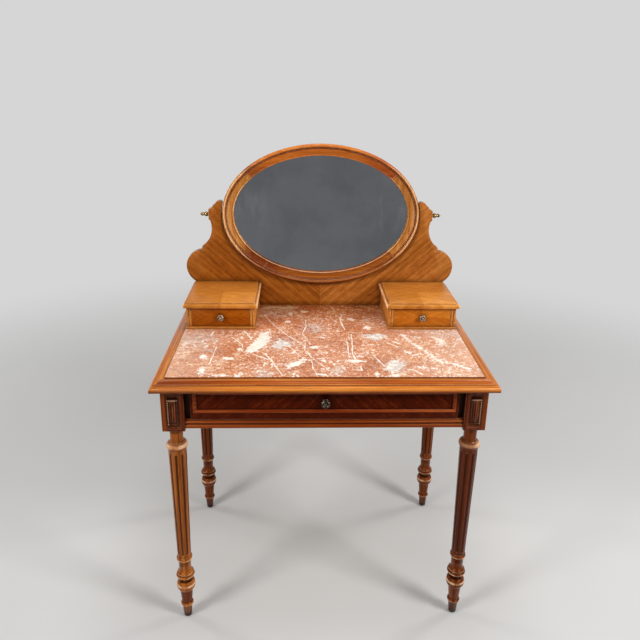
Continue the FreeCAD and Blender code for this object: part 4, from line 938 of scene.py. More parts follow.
def marble_vein(shade, place, thin, fray, half_width, points):
    """1 along a line through the points, 0 beside it."""
    reaches = []
    for start, end in zip(points, points[1:]):
        begin = Vector((*start, 0.0))
        way = Vector((*end, 0.0)) - begin
        offset = shade.vector("SUBTRACT", place, begin)
        share = shade.vector("DOT_PRODUCT", offset, way / way.length_squared).most(0.0).least(1.0)
        reaches.append(shade.vector("LENGTH", shade.vector("SUBTRACT", offset, shade.scaled(way, share))))
    nearest = reaches[0]
    for reach in reaches[1:]:
        nearest = nearest.least(reach)
    away = shade.math("MULTIPLY_ADD", nearest, thin, fray)
    return shade.span(away, half_width * VEIN_EDGE_SHARE, half_width * VEIN_FULL_SHARE)


def pushed(shade, place, sways):
    for sway in sways:
        place = shade.swayed(place, *sway)
    return place


def flattened(shade, place):
    x, y, z = shade.split(place)
    return shade.join(x, y, 0.0)


def marble_ground(shade, x, bent, crumb, speck):
    """Salmon ground, paler towards both ends."""
    tone = shade.noise(bent, *CLOUD_NOISE) * CLOUD_SHARE + crumb * CRUMB_SHARE + speck * SPECK_SHARE
    pale = shade.span(x, *RIGHT_BLUSH).most(shade.span(x, *LEFT_BLUSH))
    return shade.mix(pale, shade.ramp(tone, MARBLE_GROUND), MARBLE_BLUSH)


def marble_greys(shade, colour, place, flat, ragged, crumb):
    """Grey clouds, with small dark flaws in and between them."""
    fray = ragged * FLECK_FRAY_SHARE
    spots = [marble_spot(shade, flat, fray, spot, CLOUD_SOFT_SHARE) for spot in MARBLE_CLOUDS]
    grey = greatest(spots) * shade.span(crumb, *GREY_LIMITS)
    colour = shade.mix(grey * GREY_SHARE, colour, MARBLE_GREY)
    flaw = shade.span(shade.noise(place, *FLAW_NOISE), *FLAW_LIMITS)
    return shade.mix(flaw * (grey * FLAW_GREY_SHARE + FLAW_LEAST_SHARE), colour, MARBLE_FLAW)


def marble_net(shade, colour, place, bent):
    """Pale winding lines in places, and fine grains all over."""
    lines = shade.span(abs(shade.noise(bent, *NET_NOISE) - MIDDLE), *NET_LIMITS)
    lines = lines * shade.span(shade.noise(place, *NET_PATCH_NOISE), *NET_PATCH_LIMITS)
    grains = shade.span(shade.noise(bent, *FINE_NOISE), *FINE_LIMITS)
    return shade.mix(lines.most(grains) * NET_SHARE, colour, MARBLE_CREAM)


def marble_whites(shade, colour, place, frayed, ragged, crumb):
    """White crumbs, patches, flecks and veins, the patches partly grey."""
    flat = flattened(shade, frayed)
    vein_place = flattened(shade, pushed(shade, place, VEIN_SWAYS))
    crumbs = shade.span(shade.noise(frayed, *WHITE_NOISE), *WHITE_LIMITS)
    gathered = shade.span(shade.noise(place, *GATHER_NOISE), *GATHER_LIMITS)
    gathered = gathered.most(shade.span(shade.split(place)[0], *RIGHT_GATHER))
    fray = ragged * PATCH_FRAY
    greys = [marble_patch(shade, flat, fray, corners) for corners in GREY_PATCHES]
    whites = [crumbs * gathered]
    whites += [marble_patch(shade, flat, fray, corners) for corners in MARBLE_PATCHES] + greys
    fleck_fray = ragged * FLECK_FRAY_SHARE
    whites += [marble_spot(shade, flat, fleck_fray, spot, FLECK_SOFT_SHARE) for spot in MARBLE_FLECKS]
    thin = shade.span(shade.noise(place, *THIN_NOISE), *THIN_LIMITS)
    vein_fray = ragged * VEIN_FRAY
    for half_width, points in MARBLE_VEINS:
        course, edge = (flat, vein_fray) if half_width > CLEAN_VEIN else (vein_place, 0.0)
        whites.append(marble_vein(shade, course, thin, edge, half_width, points))
    dull = greatest(greys) * shade.span(crumb, *DULL_LIMITS)
    milky = shade.mix(shade.span(crumb, *MILK_LIMITS), MARBLE_WHITE, MARBLE_MILK)
    milky = shade.mix(dull * GREY_SHARE, milky, MARBLE_GREY)
    return shade.mix(greatest(whites), colour, milky)


def marble_look():
    """Salmon marble with white patches and veins, grey clouds and pale grains."""
    shade = Shade("marble")
    place = shade.place()
    x, y, z = shade.split(place)
    bent = pushed(shade, place, BEND_SWAYS)
    frayed = pushed(shade, bent, FRAY_SWAYS)
    crumb = shade.noise(bent, *CRUMB_NOISE)
    speck = shade.noise(place, *SPECK_NOISE)
    ragged = shade.noise(bent, *RAGGED_NOISE) - MIDDLE
    colour = marble_ground(shade, x, bent, crumb, speck)
    colour = marble_greys(shade, colour, place, flattened(shade, frayed), ragged, crumb)
    colour = marble_net(shade, colour, place, bent)
    colour = marble_whites(shade, colour, place, frayed, ragged, crumb)
    colour = shade.tinted(colour, shade.mix(shade.span(y, *SHADOW_LIMITS), PLAIN, MARBLE_SHADOW))
    colour = shade.tinted(colour, shade.mix(shade.span(z, *EDGE_SHADE_LIMITS), PLAIN, MARBLE_EDGE_SHADE))
    rough = speck * SPECK_ROUGH + MARBLE_ROUGH
    shade.set(Base_Color=colour, Roughness=rough, Normal=shade.bump(speck, *SPECK_RELIEF))
    shade.set(Specular_IOR_Level=MARBLE_SHINE, Coat_Weight=MARBLE_COAT, Coat_Roughness=MARBLE_COAT_ROUGH)
    return shade.material


# Metals: bright tone, dull tone, roughness, dirt
METALS = {"knob_silver": (tint(150, 132, 114), tint(100, 84, 70), 0.36, tint(26, 18, 12)),
          "knob_bronze": (tint(84, 74, 64), tint(46, 38, 32), 0.28, tint(10, 8, 6)),
          "brass": (tint(150, 124, 78), tint(72, 54, 30), 0.22, tint(14, 9, 5)),
          "glide_iron": (tint(120, 112, 102), tint(70, 62, 54), 0.42, tint(20, 16, 13)),
          "screw_steel": (tint(170, 164, 154), tint(120, 112, 102), 0.36, tint(40, 32, 26))}
DULL_NOISE = (160.0, 4.0, 0.6)
CAST_NOISE = (900.0, 2.0)
METAL_DULL_LIMITS = (0.38, 0.66)
DIRT_HOLLOW = 0.004
DIRT_SHARE = 0.9
RUB_RADIUS = 0.0008
RUB_SHARE = 0.4
DULL_ROUGH = 0.22
BRIGHT_ROUGH = 0.10
CAST_RELIEF = (0.06, 0.0002)


def metal_look(name, bright, dull, rough, dirt):
    """Cast and polished metal with dull patches and dirt in its hollows."""
    shade = Shade(name)
    place = shade.place()
    patch = shade.noise(place, *DULL_NOISE)
    colour = shade.mix(shade.span(patch, *METAL_DULL_LIMITS), bright, dull)
    colour = shade.mix(shade.hollow(DIRT_HOLLOW) * DIRT_SHARE, colour, dirt)
    colour = shade.mix(shade.worn(RUB_RADIUS) * RUB_SHARE, colour, bright)
    relief = shade.bump(shade.noise(place, *CAST_NOISE), *CAST_RELIEF)
    roughness = patch * DULL_ROUGH + (rough - BRIGHT_ROUGH)
    shade.set(Base_Color=colour, Metallic=1.0, Roughness=roughness, Normal=relief)
    return shade.material


HAZE_NOISE = (7.0, 4.0, 0.6)
HAZE_LIMITS = (0.35, 0.70)
SILVER_TONES = (tint(226, 229, 232), tint(205, 210, 214))
SMEAR_NOISE = ((40.0, 40.0, 12.0), 3.0, 0.6)
SMEAR_LIMITS = (0.46, 0.66)
SMEAR_ENDS = (0.12, 0.20)     # smears lie towards the glass's ends, near its middle height
SMEAR_HEIGHTS = (0.09, 0.03)
SMEAR_SHARE = 0.03


def mirror_look():
    """Old silvered glass, a little hazy."""
    shade = Shade("mirror_glass")
    place = shade.place()
    colour = shade.mix(shade.span(shade.noise(place, *HAZE_NOISE), *HAZE_LIMITS), *SILVER_TONES)
    x, z = on_oval(shade, place)
    smear = shade.span(shade.noise(place, *SMEAR_NOISE), *SMEAR_LIMITS)
    veil = shade.span(abs(x), *SMEAR_ENDS) * shade.span(abs(z), *SMEAR_HEIGHTS) * smear
    silver = shade.span(veil, 0.0, 1.0, 1.0, 1.0 - SMEAR_SHARE)
    shade.set(Base_Color=colour, Metallic=silver, Roughness=0.0)
    return shade.material


# Materials by slot, and by the way the grain lies
MOULDED = {"tone_and_light": moulding_tones_and_light, "gloss": 0.24, "cove": 0.85, "polish": PALE_SHELLAC}
OVAL = {"tone_and_light": oval_tones_and_shade, "painted_highlight": oval_highlights, "gloss": 0.22, "shine": 0.35, "polish": PALE_SHELLAC}
BOXED = {"contrast": 0.8, "figure": 0.4}
BARE = {"gloss": 0.60, "shine": 0.15}
WOODS = {
    "walnut_leg": (LEG_TONES, grain_z, {
        "tone_and_light": leaf_leg, "painted_highlight": ring_highlights, "gloss": 0.22, "shine": 0.32, "cove": 0.95}),
    "walnut_tablet": (TABLET_TONES, grain_z, {
        "painted_highlight": tablet_highlights, "gloss": 0.26, "edge_and_corner_strength": 1.2, "shine": 0.35, "cove": 1.0}),
    "walnut_rail": (RAIL_TONES, grain_x, {"cove": 0.7}),
    "walnut_rail_side": (RAIL_TONES, grain_y, {}),
    "walnut_moulding": (MOULDING_TONES, grain_x, MOULDED),
    "walnut_moulding_side": (MOULDING_TONES, grain_y, MOULDED),
    "walnut_board": (BOARD_TONES, grain_board, {"tone_and_light": leaf_board, "contrast": 1.05, "figure": 0.4}),
    "walnut_box": (BOX_TONES, grain_x, BOXED),
    "walnut_box_side": (BOX_TONES, grain_y, BOXED),
    "walnut_box_top": (BOX_TONES, grain_quarters(1), {
        "tone_and_light": leaf_quarters(1, -1.0, BOX_TOP_QUARTER_SHADE), "painted_highlight": box_top_highlights, "contrast": 0.6, "edge_and_corner_strength": 1.5,
        "figure": 0.45}),
    "walnut_mirror": (GOLDEN_TONES, grain_x, OVAL),
    "walnut_mirror_side": (GOLDEN_TONES, grain_z, OVAL),
    "chevron_veneer": (CHEVRON_TONES, grain_chevron, {"contrast": 0.7, "shine": 0.06, "figure": 0.5}),
    "quarter_veneer": (QUARTER_TONES, grain_quarters(2), {
        "tone_and_light": leaf_quarters(2, 1.0, BOX_FRONT_QUARTER_SHADE, LEFT_FRONT_SHADE), "contrast": 0.6, "shine": 0.18,
        "figure": 0.5}),
    "bead_wood": (STRIP_TONES, grain_x, {"gloss": 0.24, "edge_and_corner_strength": 1.3, "cove": 0.7}),
    # The dark set-back stiles: painted shade of the gap beside the drawer
    "ebonised_wood": (STILE_SHADE_TONES, grain_z, {"gloss": 0.45, "shine": 0.15}),
    "secondary_wood": (SECONDARY_TONES, grain_x, BARE),
    "secondary_wood_side": (SECONDARY_TONES, grain_y, BARE)}
looks = {name: wood(name, tones, turn, **settings) for name, (tones, turn, settings) in WOODS.items()}
looks["marble"] = marble_look()
looks["mirror_glass"] = mirror_look()
for name, settings in METALS.items():
    looks[name] = metal_look(name, *settings)

# Pieces whose grain doesn't run along the table
TURNED_GRAIN = {"leg_tablets": "walnut_tablet", "drawer_runners": "secondary_wood_side",
                "corner_blocks": "secondary_wood_side"}
SIDE_GRAIN = {"apron_{}": "walnut_rail_side", "top_frame_{}": "walnut_moulding_side",
              "mirror_frame_{}": "walnut_mirror_side", "{}_box_top": "walnut_box_top",
              "{}_box_outer_side": "walnut_box_side", "{}_box_inner_side": "walnut_box_side",
              "main_drawer_{}_side": "secondary_wood_side", "{}_drawer_sides": "secondary_wood_side"}
for side in SIDES:
    TURNED_GRAIN.update({part.format(side): look for part, look in SIDE_GRAIN.items()})
slots = {name: node.data.materials[0].name for name, node in nodes.items()}
node_looks = {name: looks[TURNED_GRAIN.get(name, slots[name])] for name in nodes}
for name, node in nodes.items():
    node.data.materials[0] = node_looks[name]


def made_piece(name, bm, stands_for):
    """Mesh piece that rides with the node it stands for and takes over its slot."""
    mesh = bpy.data.meshes.new(name)
    bm.normal_update()
    bm.to_mesh(mesh)
    bm.free()
    mesh.polygons.foreach_set("use_smooth", [True] * len(mesh.polygons))
    mesh.set_sharp_from_angle(angle=SHADE_ANGLE)
    mesh.materials.append(node_looks[stands_for])
    piece = bpy.data.objects.new(name, mesh)
    scene.collection.objects.link(piece)
    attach(piece, nodes[stands_for]["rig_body"])
    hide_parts(stands_for)
    return piece


def solid_of(name):
    """Welded copy of a node's mesh, its flat faces joined up."""
    bm = bmesh.new()
    bm.from_mesh(nodes[name].data)
    for layer in list(bm.loops.layers.float_vector):
        bm.loops.layers.float_vector.remove(layer)
    bmesh.ops.remove_doubles(bm, verts=bm.verts, dist=WELD)
    bmesh.ops.dissolve_limit(bm, angle_limit=FLAT_ANGLE, verts=bm.verts, edges=bm.edges)
    return bm


def soften(bm):
    """Rounds the sharp edges of a solid."""
    sharp = [edge for edge in bm.edges if edge.is_manifold and edge.calc_face_angle() > SOFT_ANGLE]
    bmesh.ops.bevel(bm, geom=sharp, offset=SOFT_EDGE, offset_type="OFFSET", segments=SOFT_SEGMENTS,
                    profile=ROUND_PROFILE, affect="EDGES", clamp_overlap=True)


def lathe(bm, outline, origin, axis, sides, swell=None):
    """Turned form. The outline gives distances from the axis and along it."""
    first = SIDES["right"] if axis == UP else UP
    second = axis.cross(first)
    rings = []
    for index, (radius, reach) in enumerate(outline):
        centre = origin + axis * reach
        if radius < WELD:
            rings.append([bm.verts.new(centre)])
            continue
        ring = []
        for k in range(sides):
            angle = 2 * math.pi * k / sides
            scale = swell(index, angle) if swell else 1.0
            out = first * math.cos(angle) + second * math.sin(angle)
            ring.append(bm.verts.new(centre + out * (radius * scale)))
        rings.append(ring)
    for low, high in zip(rings, rings[1:]):
        for k in range(sides):
            near = k + 1
            corners = [low[k % len(low)], low[near % len(low)], high[near % len(high)], high[k % len(high)]]
            corners = list(dict.fromkeys(corners))
            if len(corners) > 2:
                bm.faces.new(corners)
    for ring in (rings[0][::-1], rings[-1]):
        if len(ring) > 2:
            bm.faces.new(ring)


def bridge(bm, low, high):
    """Faces between two rings of the same count."""
    count = len(low)
    for k in range(count):
        bm.faces.new((low[k], low[(k + 1) % count], high[(k + 1) % count], high[k]))


def skin(bm, rings):
    """Closed form over a row of rings."""
    for low, high in zip(rings, rings[1:]):
        bridge(bm, low, high)
    bm.faces.new(rings[0][::-1])
    bm.faces.new(rings[-1])


def arc(start, end, sag):
    """Points of an arc from start to end that bulges away from the axis by sag."""
    chord = Vector(end) - Vector(start)
    right = Vector((chord.y, -chord.x)).normalized()
    half = chord.length / 2
    radius = (half * half + sag * sag) / (2 * abs(sag))
    side = 1 if sag > 0 else -1
    centre = (Vector(start) + Vector(end)) / 2 + right * (sag - side * radius)
    begin = Vector(start) - centre
    total = 2 * math.asin(min(1.0, half / radius))
    if abs(sag) > half:
        total = 2 * math.pi - total
    turns = [Matrix.Rotation(side * total * k / ARC_STEPS, 2) for k in range(ARC_STEPS + 1)]
    return [tuple(centre + turn @ begin) for turn in turns]


def turned_outline(rises, z):
    """Outline of a leg's stretch from a height upwards, as distances from its axis and heights."""
    points = []
    for height, lower, upper, bulge in rises:
        start, end = (lower, z), (upper, z + height)
        z += height
        for point in arc(start, end, bulge) if bulge else (start, end):
            if not points or (Vector(point) - Vector(points[-1])).length > WELD:
                points.append(point)
    return points


def flute_at(z):
    """Radius of a flute's cut at a height, zero beyond its round ends."""
    if z < FLUTE_FOOT:
        return math.sqrt(max(0.0, FLUTE_FOOT_RADIUS ** 2 - (FLUTE_FOOT - z) ** 2))
    if z > FLUTE_TOP:
        return math.sqrt(max(0.0, FLUTE_TOP_RADIUS ** 2 - (z - FLUTE_TOP) ** 2))
    share = (z - FLUTE_FOOT) / (FLUTE_TOP - FLUTE_FOOT)
    return FLUTE_FOOT_RADIUS + (FLUTE_TOP_RADIUS - FLUTE_FOOT_RADIUS) * share


def shaft_heights():
    """Heights of the shaft's rings, closer together at the ends of the flutes."""
    bends = [math.pi / 2 * k / END_STEPS for k in range(END_STEPS + 1)]
    heights = [SHAFT_FOOT]
    heights += [FLUTE_FOOT - FLUTE_FOOT_RADIUS * math.cos(bend) for bend in bends]
    heights += [FLUTE_FOOT + (FLUTE_TOP - FLUTE_FOOT) * k / SHAFT_STEPS for k in range(1, SHAFT_STEPS)]
    heights += [FLUTE_TOP + FLUTE_TOP_RADIUS * math.sin(bend) for bend in bends]
    return heights + [SHAFT_TOP]


def shaft_ring(bm, middle, z, turn):
    """Ring of the fluted shaft: across each flute, then over the land beside it."""
    share = (z - SHAFT_FOOT) / (SHAFT_TOP - SHAFT_FOOT)
    radius = SHAFT_FOOT_RADIUS + (SHAFT_TOP_RADIUS - SHAFT_FOOT_RADIUS) * share
    cut = flute_at(z)
    half = max(2 * math.asin(cut / (2 * radius)), LEAST_FLUTE_ANGLE)
    sector = 2 * math.pi / FLUTE_COUNT
    offsets = [half * (2 * k / FLUTE_STEPS - 1) for k in range(FLUTE_STEPS)]
    offsets += [half + (sector - 2 * half) * k / LAND_STEPS for k in range(LAND_STEPS)]
    ring = []
    for flute in range(FLUTE_COUNT):
        for offset in offsets:
            reach = radius
            inside = cut ** 2 - (radius * math.sin(offset)) ** 2
            if abs(offset) < half and inside > 0:
                reach = min(radius, radius * math.cos(offset) - math.sqrt(inside))
            angle = sector * flute - math.pi / 2 + turn + offset
            ring.append(bm.verts.new(middle + Vector((reach * math.cos(angle), reach * math.sin(angle), z))))
    return ring


def make_leg(name):
    """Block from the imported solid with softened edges, and the turned and fluted leg below it."""
    middle = box_middle(name)
    middle.z = 0
    bm = solid_of(name)
    below = [vert for vert in bm.verts if vert.co.z < BLOCK_FOOT - WELD]
    bmesh.ops.delete(bm, geom=below, context="VERTS")
    bmesh.ops.holes_fill(bm, edges=[edge for edge in bm.edges if edge.is_boundary])
    soften(bm)
    sides = FLUTE_COUNT * (FLUTE_STEPS + LAND_STEPS)
    lower = [(0.0, GLIDE_HEIGHT)] + turned_outline(LOWER_TURNING, GLIDE_HEIGHT)
    lathe(bm, lower, middle, UP, sides)
    turn = FLUTE_TURNS[name.split("_")[-1]]
    skin(bm, [shaft_ring(bm, middle, z, turn) for z in shaft_heights()])
    lathe(bm, turned_outline(UPPER_TURNING + (NECK_SEAT,), SHAFT_TOP), middle, UP, sides)
    made_piece(name + "_turned", bm, name)


def dome(bm, matrix, radius_u, radius_v, height):
    """Half-round boss on a face. The matrix takes across, up and out to the table's frame."""
    rings = []
    for ring in range(BEAD_RINGS):
        lift = math.pi / 2 * ring / BEAD_RINGS
        row = []
        for k in range(BEAD_SIDES):
            angle = 2 * math.pi * k / BEAD_SIDES
            u = radius_u * math.cos(lift) * math.cos(angle)
            v = radius_v * math.cos(lift) * math.sin(angle)
            row.append(bm.verts.new(matrix @ Vector((u, v, height * math.sin(lift)))))
        rings.append(row)
    crown = bm.verts.new(matrix @ Vector((0, 0, height)))
    for low, high in zip(rings, rings[1:]):
        bridge(bm, low, high)
    for k in range(BEAD_SIDES):
        bm.faces.new((rings[-1][k], rings[-1][(k + 1) % BEAD_SIDES], crown))
    bm.faces.new(rings[0][::-1])


def plate(bm, matrix, low, high, depth):
    """Thin block with rounded edges, from the panel's floor outwards."""
    made = bmesh.ops.create_cube(bm, size=1.0)["verts"]
    middle = (Vector(low) + Vector(high)) / 2
    size = Vector(high) - Vector(low)
    for vert in made:
        u, v, out = vert.co
        vert.co = matrix @ Vector((middle.x + u * size.x, middle.y + v * size.y, depth * (out + UNIT_HALF)))
    edges = {edge for vert in made for edge in vert.link_edges}
    bmesh.ops.bevel(bm, geom=list(edges), offset=SOFT_EDGE, segments=SOFT_SEGMENTS, profile=ROUND_PROFILE,
                    affect="EDGES")


def make_tablet(name, leg, out):
    """Carved tablet: beads down its sides and along its foot, and reeds under a bar between them."""
    panel = box_middle(leg)
    panel.z = TABLET_FOOT
    columns = Matrix((UP.cross(out), UP, out)).transposed()
    matrix = Matrix.Translation(panel + out * (BLOCK_HALF - PANEL_DEPTH)) @ columns.to_4x4()
    bm = bmesh.new()
    half = TABLET_WIDTH / 2
    plate(bm, matrix, (-half, 0), (half, TABLET_HEIGHT), TABLET_PLATE)
    lift = matrix @ Matrix.Translation((0, 0, TABLET_PLATE))
    for k in range(TABLET_BEADS):
        for side in (-1, 1):
            spot = Matrix.Translation((side * (half - BEAD_RADIUS), BEAD_RADIUS + BEAD_PITCH * k, 0))
            dome(bm, lift @ spot, BEAD_RADIUS, BEAD_PITCH / 2, BEAD_HEIGHT)
    inner = TABLET_WIDTH - 4 * BEAD_RADIUS
    step = inner / FOOT_BEADS
    for k in range(FOOT_BEADS):
        spot = Matrix.Translation((step * k + (step - inner) / 2, BEAD_RADIUS, 0))
        dome(bm, lift @ spot, step / 2, BEAD_RADIUS, BEAD_HEIGHT)
    reed = inner / REEDS
    reed_foot = 2 * BEAD_RADIUS
    bar_foot = TABLET_HEIGHT - TABLET_BAR
    for k in range(REEDS):
        spot = Matrix.Translation((reed * k + (reed - inner) / 2, (reed_foot + bar_foot) / 2, 0))
        dome(bm, lift @ spot, reed / 2, (bar_foot - reed_foot) / 2, REED_HEIGHT)
    plate(bm, lift, (-inner / 2, bar_foot), (inner / 2, TABLET_HEIGHT), BEAD_HEIGHT)
    made_piece(name, bm, "leg_tablets")


def make_knob(name):
    """Rosette knob: a stem on a small plate, a ring of petals round a centre boss."""
    low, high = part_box(name)
    radius = (high.x - low.x) / 2
    origin = (low + high) / 2
    origin.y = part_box(name.replace("knob", "front"))[0].y
    outline = [(out * radius, reach * radius) for out, reach, petal in KNOB_SHARES]

    def swell(index, angle):
        wave = abs(math.sin(angle * KNOB_PETALS / 2))
        return 1 - PETAL_DEPTH_SHARE * KNOB_SHARES[index][2] * (1 - wave)

    bm = bmesh.new()
    lathe(bm, outline, origin, FRONT, KNOB_SIDES, swell)
    made_piece(name + "_rosette", bm, name)


def make_finial(name, out):
    """Turned brass finial with rings and a small tip."""
    low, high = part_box(name)
    radius = (high.z - low.z) / 2
    length = high.x - low.x
    origin = (low + high) / 2 - out * (length / 2)
    outline = [(away * radius, reach * length) for away, reach in FINIAL_SHARES]
    bm = bmesh.new()
    lathe(bm, outline, origin, out, FINIAL_SIDES)
    made_piece(name + "_turned", bm, name)


def half_round(middle, back, radius):
    """Bead across the mirror frame's face, from its inner to its outer side."""
    angles = [math.pi * (1 - k / FRAME_BEAD_STEPS) for k in range(FRAME_BEAD_STEPS + 1)]
    return [(middle + radius * math.cos(angle), back - radius * math.sin(angle)) for angle in angles]


def frame_section():
    """Section of the mirror frame: distance outside the glass, and distance behind its front."""
    groove_end = MIRROR_FACE - 2 * OUTER_BEAD
    groove_start = groove_end - FRAME_GROOVE_WIDTH
    groove_back = BAND_FRONT + FRAME_GROOVE_DEPTH
    band_start = 2 * INNER_BEAD + FRAME_GROOVE_WIDTH
    rebate_back = MIRROR_THICKNESS - REBATE_DEPTH
    points = half_round(INNER_BEAD, INNER_BEAD_BACK, INNER_BEAD)
    for k in range(FRAME_BEAD_STEPS + 1):
        share = k / FRAME_BEAD_STEPS
        back = INNER_BEAD_BACK + (BAND_FRONT - INNER_BEAD_BACK) * share
        back += BAND_HOLLOW * math.sin(math.pi * share)
        points.append((band_start + (groove_start - band_start) * share, back))
    points += [(groove_start, groove_back), (groove_end, groove_back)]
    points += half_round(MIRROR_FACE - OUTER_BEAD, OUTER_BEAD, OUTER_BEAD)
    points += [(MIRROR_FACE, MIRROR_THICKNESS - FRAME_EDGE), (MIRROR_FACE - FRAME_EDGE, MIRROR_THICKNESS)]
    return points + [(REBATE_WIDTH, MIRROR_THICKNESS), (REBATE_WIDTH, rebate_back), (0.0, rebate_back)]


def oval_point(out, back, angle):
    """Point of the leaning mirror: distance outside the sight edge and behind the frame's front."""
    return tilt @ Vector(((SIGHT_HALF_WIDTH + out) * math.cos(angle), MIRROR_FRONT + back,
                          (SIGHT_HALF_HEIGHT + out) * math.sin(angle)))


def oval_piece(name, points_by_ring, stands_for):
    """Closed form over rings of points of the mirror."""
    bm = bmesh.new()
    skin(bm, [[bm.verts.new(point) for point in points] for points in points_by_ring])
    bmesh.ops.recalc_face_normals(bm, faces=bm.faces)
    return made_piece(name, bm, stands_for)


def make_mirror_member(name):
    """One stretch of the oval frame, with hairline joints at its ends."""
    section = frame_section()
    middle = Vector((sum(p[0] for p in section), sum(p[1] for p in section))) / len(section)
    first, last = JOINT_DEGREES[name]
    length = last - first - 2 * JOINT_DEGREE_STEP
    stops = [(first, JOINT_SHARE)]
    stops += [(first + JOINT_DEGREE_STEP + length * k / FRAME_STEPS, 1.0) for k in range(FRAME_STEPS + 1)]
    stops.append((last, JOINT_SHARE))
    rings = []
    for degrees, share in stops:
        ring = []
        for out, back in section:
            shrunk_out = middle.x + (out - middle.x) * share
            shrunk_back = middle.y + (back - middle.y) * share
            ring.append(oval_point(shrunk_out, shrunk_back, math.radians(degrees)))
        rings.append(ring)
    oval_piece(name + "_swept", rings, name)


def make_glass(name):
    """Oval glass with a shallow bevel round its front."""
    outline = ((GLASS_EDGE, GLASS_BACK), (GLASS_EDGE, GLASS_FRONT + BEVEL_DEPTH), (-BEVEL_INSET, GLASS_FRONT))
    angles = [2 * math.pi * k / GLASS_STEPS for k in range(GLASS_STEPS)]
    rings = [[oval_point(out, back, angle) for angle in angles] for out, back in outline]
    piece = oval_piece(name + "_bevelled", rings, name)
    piece.data.polygons.foreach_set("use_smooth", [False] * len(piece.data.polygons))


# Pieces
for corner in ("front_left", "front_right", "rear_left", "rear_right"):
    make_leg("leg_" + corner)
for side, out in SIDES.items():
    make_tablet("tablet_front_" + side, "leg_front_" + side, FRONT)
    make_tablet("tablet_side_" + side, "leg_front_" + side, out)
    make_knob(side + "_drawer_knob")
    make_finial(side + "_finial", out)
make_knob("main_drawer_knob")
for name in JOINT_DEGREES:
    make_mirror_member(name)
make_glass("mirror_glass")

SOFTENED = ["apron_left", "apron_right", "apron_rear", "front_lower_rail", "front_stiles", "backboard",
            "top_frame_front", "top_frame_left", "top_frame_right", "top_frame_rear",
            "main_drawer_front", "main_drawer_strips", "main_drawer_left_side", "main_drawer_right_side",
            "main_drawer_back"]
for side in SIDES:
    for part in ("box_base", "box_outer_side", "box_inner_side", "box_top", "drawer_front", "drawer_sides",
                 "drawer_back"):
        SOFTENED.append(side + "_" + part)
for name in SOFTENED:
    solid = solid_of(name)
    soften(solid)
    made_piece(name + "_softened", solid, name)


def seen_ray(tree):
    """1 for what the camera sees, itself or in polish and glass, and 0 for what lights the object."""
    path = tree.nodes.new("ShaderNodeLightPath")
    seen = path.outputs["Is Camera Ray"]
    for kind in ("Is Glossy Ray", "Is Transmission Ray"):
        either = tree.nodes.new("ShaderNodeMath")
        either.operation = "MAXIMUM"
        tree.links.new(seen, either.inputs[0])
        tree.links.new(path.outputs[kind], either.inputs[1])
        seen = either.outputs[0]
    return seen


def floor_look():
    """Pale matt floor that melts into the backdrop far from the table."""
    shade = Shade("pale_floor")
    place = shade.place()
    near = shade.mix(shade.noise(place, *FLOOR_NOISE), *FLOOR_TONES)
    far = shade.span(shade.vector("LENGTH", place), FADE_START, FADE_END)
    shade.set(Base_Color=shade.mix(far, near, BLACK), Roughness=1.0, Specular_IOR_Level=0.0)
    shade.set(Emission_Color=BACKDROP, Emission_Strength=far * WORLD_SEEN * seen_ray(shade.tree))
    return shade.material


def card_look():
    """Grey card that stands in for the room in front of the mirror, paler towards its foot."""
    shade = Shade("grey_card")
    height = shade.split(shade.place())[2]
    grey = shade.mix(shade.span(height, 0.0, CARD_FADE_TOP), *CARD_TONES)
    shade.set(Base_Color=BLACK, Emission_Color=grey, Emission_Strength=1.0)
    return shade.material


def glint_look():
    """Bright card, seen in reflections only, and dimmer in the mirror than in polish."""
    shade = Shade("glint_card")
    in_mirror = shade.node("ShaderNodeLightPath").outputs["Is Singular Ray"]
    strength = shade.span(in_mirror, 0.0, 1.0, GLINT_STRENGTH, GLINT_IN_MIRROR)
    shade.set(Base_Color=BLACK, Emission_Color=GLINT_TONE, Emission_Strength=strength)
    return shade.material


def stage_sheet(name, corners, material):
    mesh = bpy.data.meshes.new(name)
    mesh.from_pydata(corners, [], [tuple(range(len(corners)))])
    mesh.materials.append(material)
    sheet = bpy.data.objects.new(name, mesh)
    scene.collection.objects.link(sheet)
    return sheet


# Stage: floor, cards that the mirror and the polish show, lamps, world and camera
floor_corners = [(x * FLOOR_HALF, y * FLOOR_HALF, 0) for x, y in ((-1, -1), (1, -1), (1, 1), (-1, 1))]
stage_sheet("floor", floor_corners, floor_look())
bright = glint_look()
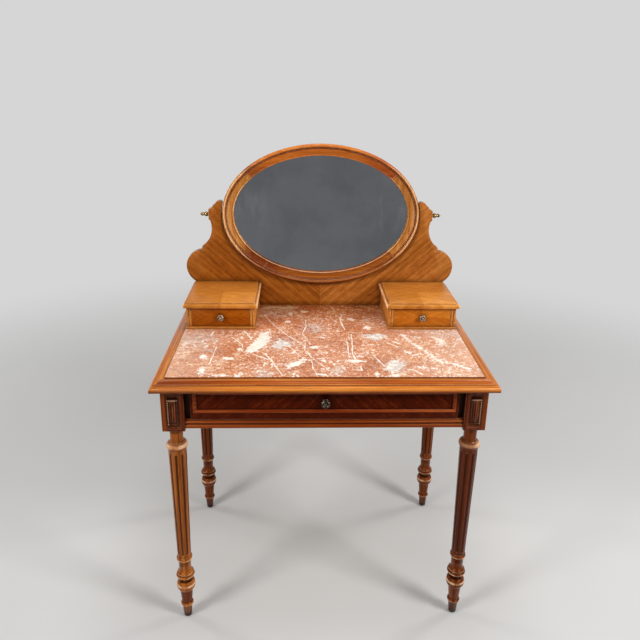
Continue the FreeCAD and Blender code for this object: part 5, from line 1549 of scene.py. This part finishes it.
# Name, left and right edge, foot, top, look
CARDS = (("mirror_card", -CARD_EDGE, CARD_EDGE, CARD_FOOT, CARD_TOP, card_look()),
         ("left_glint_card", -GLINT_FAR_EDGE, -CARD_EDGE, GLINT_FOOT, GLINT_TOP, bright),
         ("right_glint_card", CARD_EDGE, GLINT_FAR_EDGE, GLINT_FOOT, GLINT_TOP, bright))
for name, left, right, foot, top, look in CARDS:
    card = stage_sheet(name, [(left, CARD_PLACE, foot), (left, CARD_PLACE, top),
                              (right, CARD_PLACE, top), (right, CARD_PLACE, foot)], look)
    card.visible_camera = False
    card.visible_diffuse = False
    card.visible_shadow = False
    card.visible_transmission = False

for name, place, size, power in LAMPS:
    lamp = bpy.data.lights.new(name, "AREA")
    lamp.shape = "DISK"
    lamp.size = size
    lamp.energy = power
    holder = bpy.data.objects.new(name, lamp)
    holder.location = place
    holder.rotation_euler = (LAMP_AIM - place).to_track_quat("-Z", "Y").to_euler()
    scene.collection.objects.link(holder)

world = bpy.data.worlds.new("studio")
world.use_nodes = True
scene.world = world
tree = world.node_tree
backdrop = tree.nodes["Background"]
backdrop.inputs["Color"].default_value = BACKDROP
level = tree.nodes.new("ShaderNodeMapRange")
level.inputs["To Min"].default_value = WORLD_FILL
level.inputs["To Max"].default_value = WORLD_SEEN
tree.links.new(seen_ray(tree), level.inputs["Value"])
tree.links.new(level.outputs[0], backdrop.inputs["Strength"])

lens = bpy.data.cameras.new("camera")
lens.sensor_width = SENSOR_WIDTH
lens.lens = FOCAL_PIXELS / IMAGE_SIZE * SENSOR_WIDTH
lens.shift_y = (CENTRE_ROW - IMAGE_SIZE / 2) / IMAGE_SIZE
ahead = math.cos(CAMERA_PITCH)
forward = Vector((math.sin(CAMERA_YAW) * ahead, math.cos(CAMERA_YAW) * ahead, -math.sin(CAMERA_PITCH)))
level_right = Vector((math.cos(CAMERA_YAW), -math.sin(CAMERA_YAW), 0))
level_down = forward.cross(level_right)
right = math.cos(CAMERA_ROLL) * level_right + math.sin(CAMERA_ROLL) * level_down
down = math.cos(CAMERA_ROLL) * level_down - math.sin(CAMERA_ROLL) * level_right
camera = bpy.data.objects.new("camera", lens)
camera_turn = Matrix((right, -down, -forward)).transposed().to_4x4()
camera.matrix_world = Matrix.Translation(CAMERA_PLACE) @ camera_turn
scene.collection.objects.link(camera)
scene.camera = camera
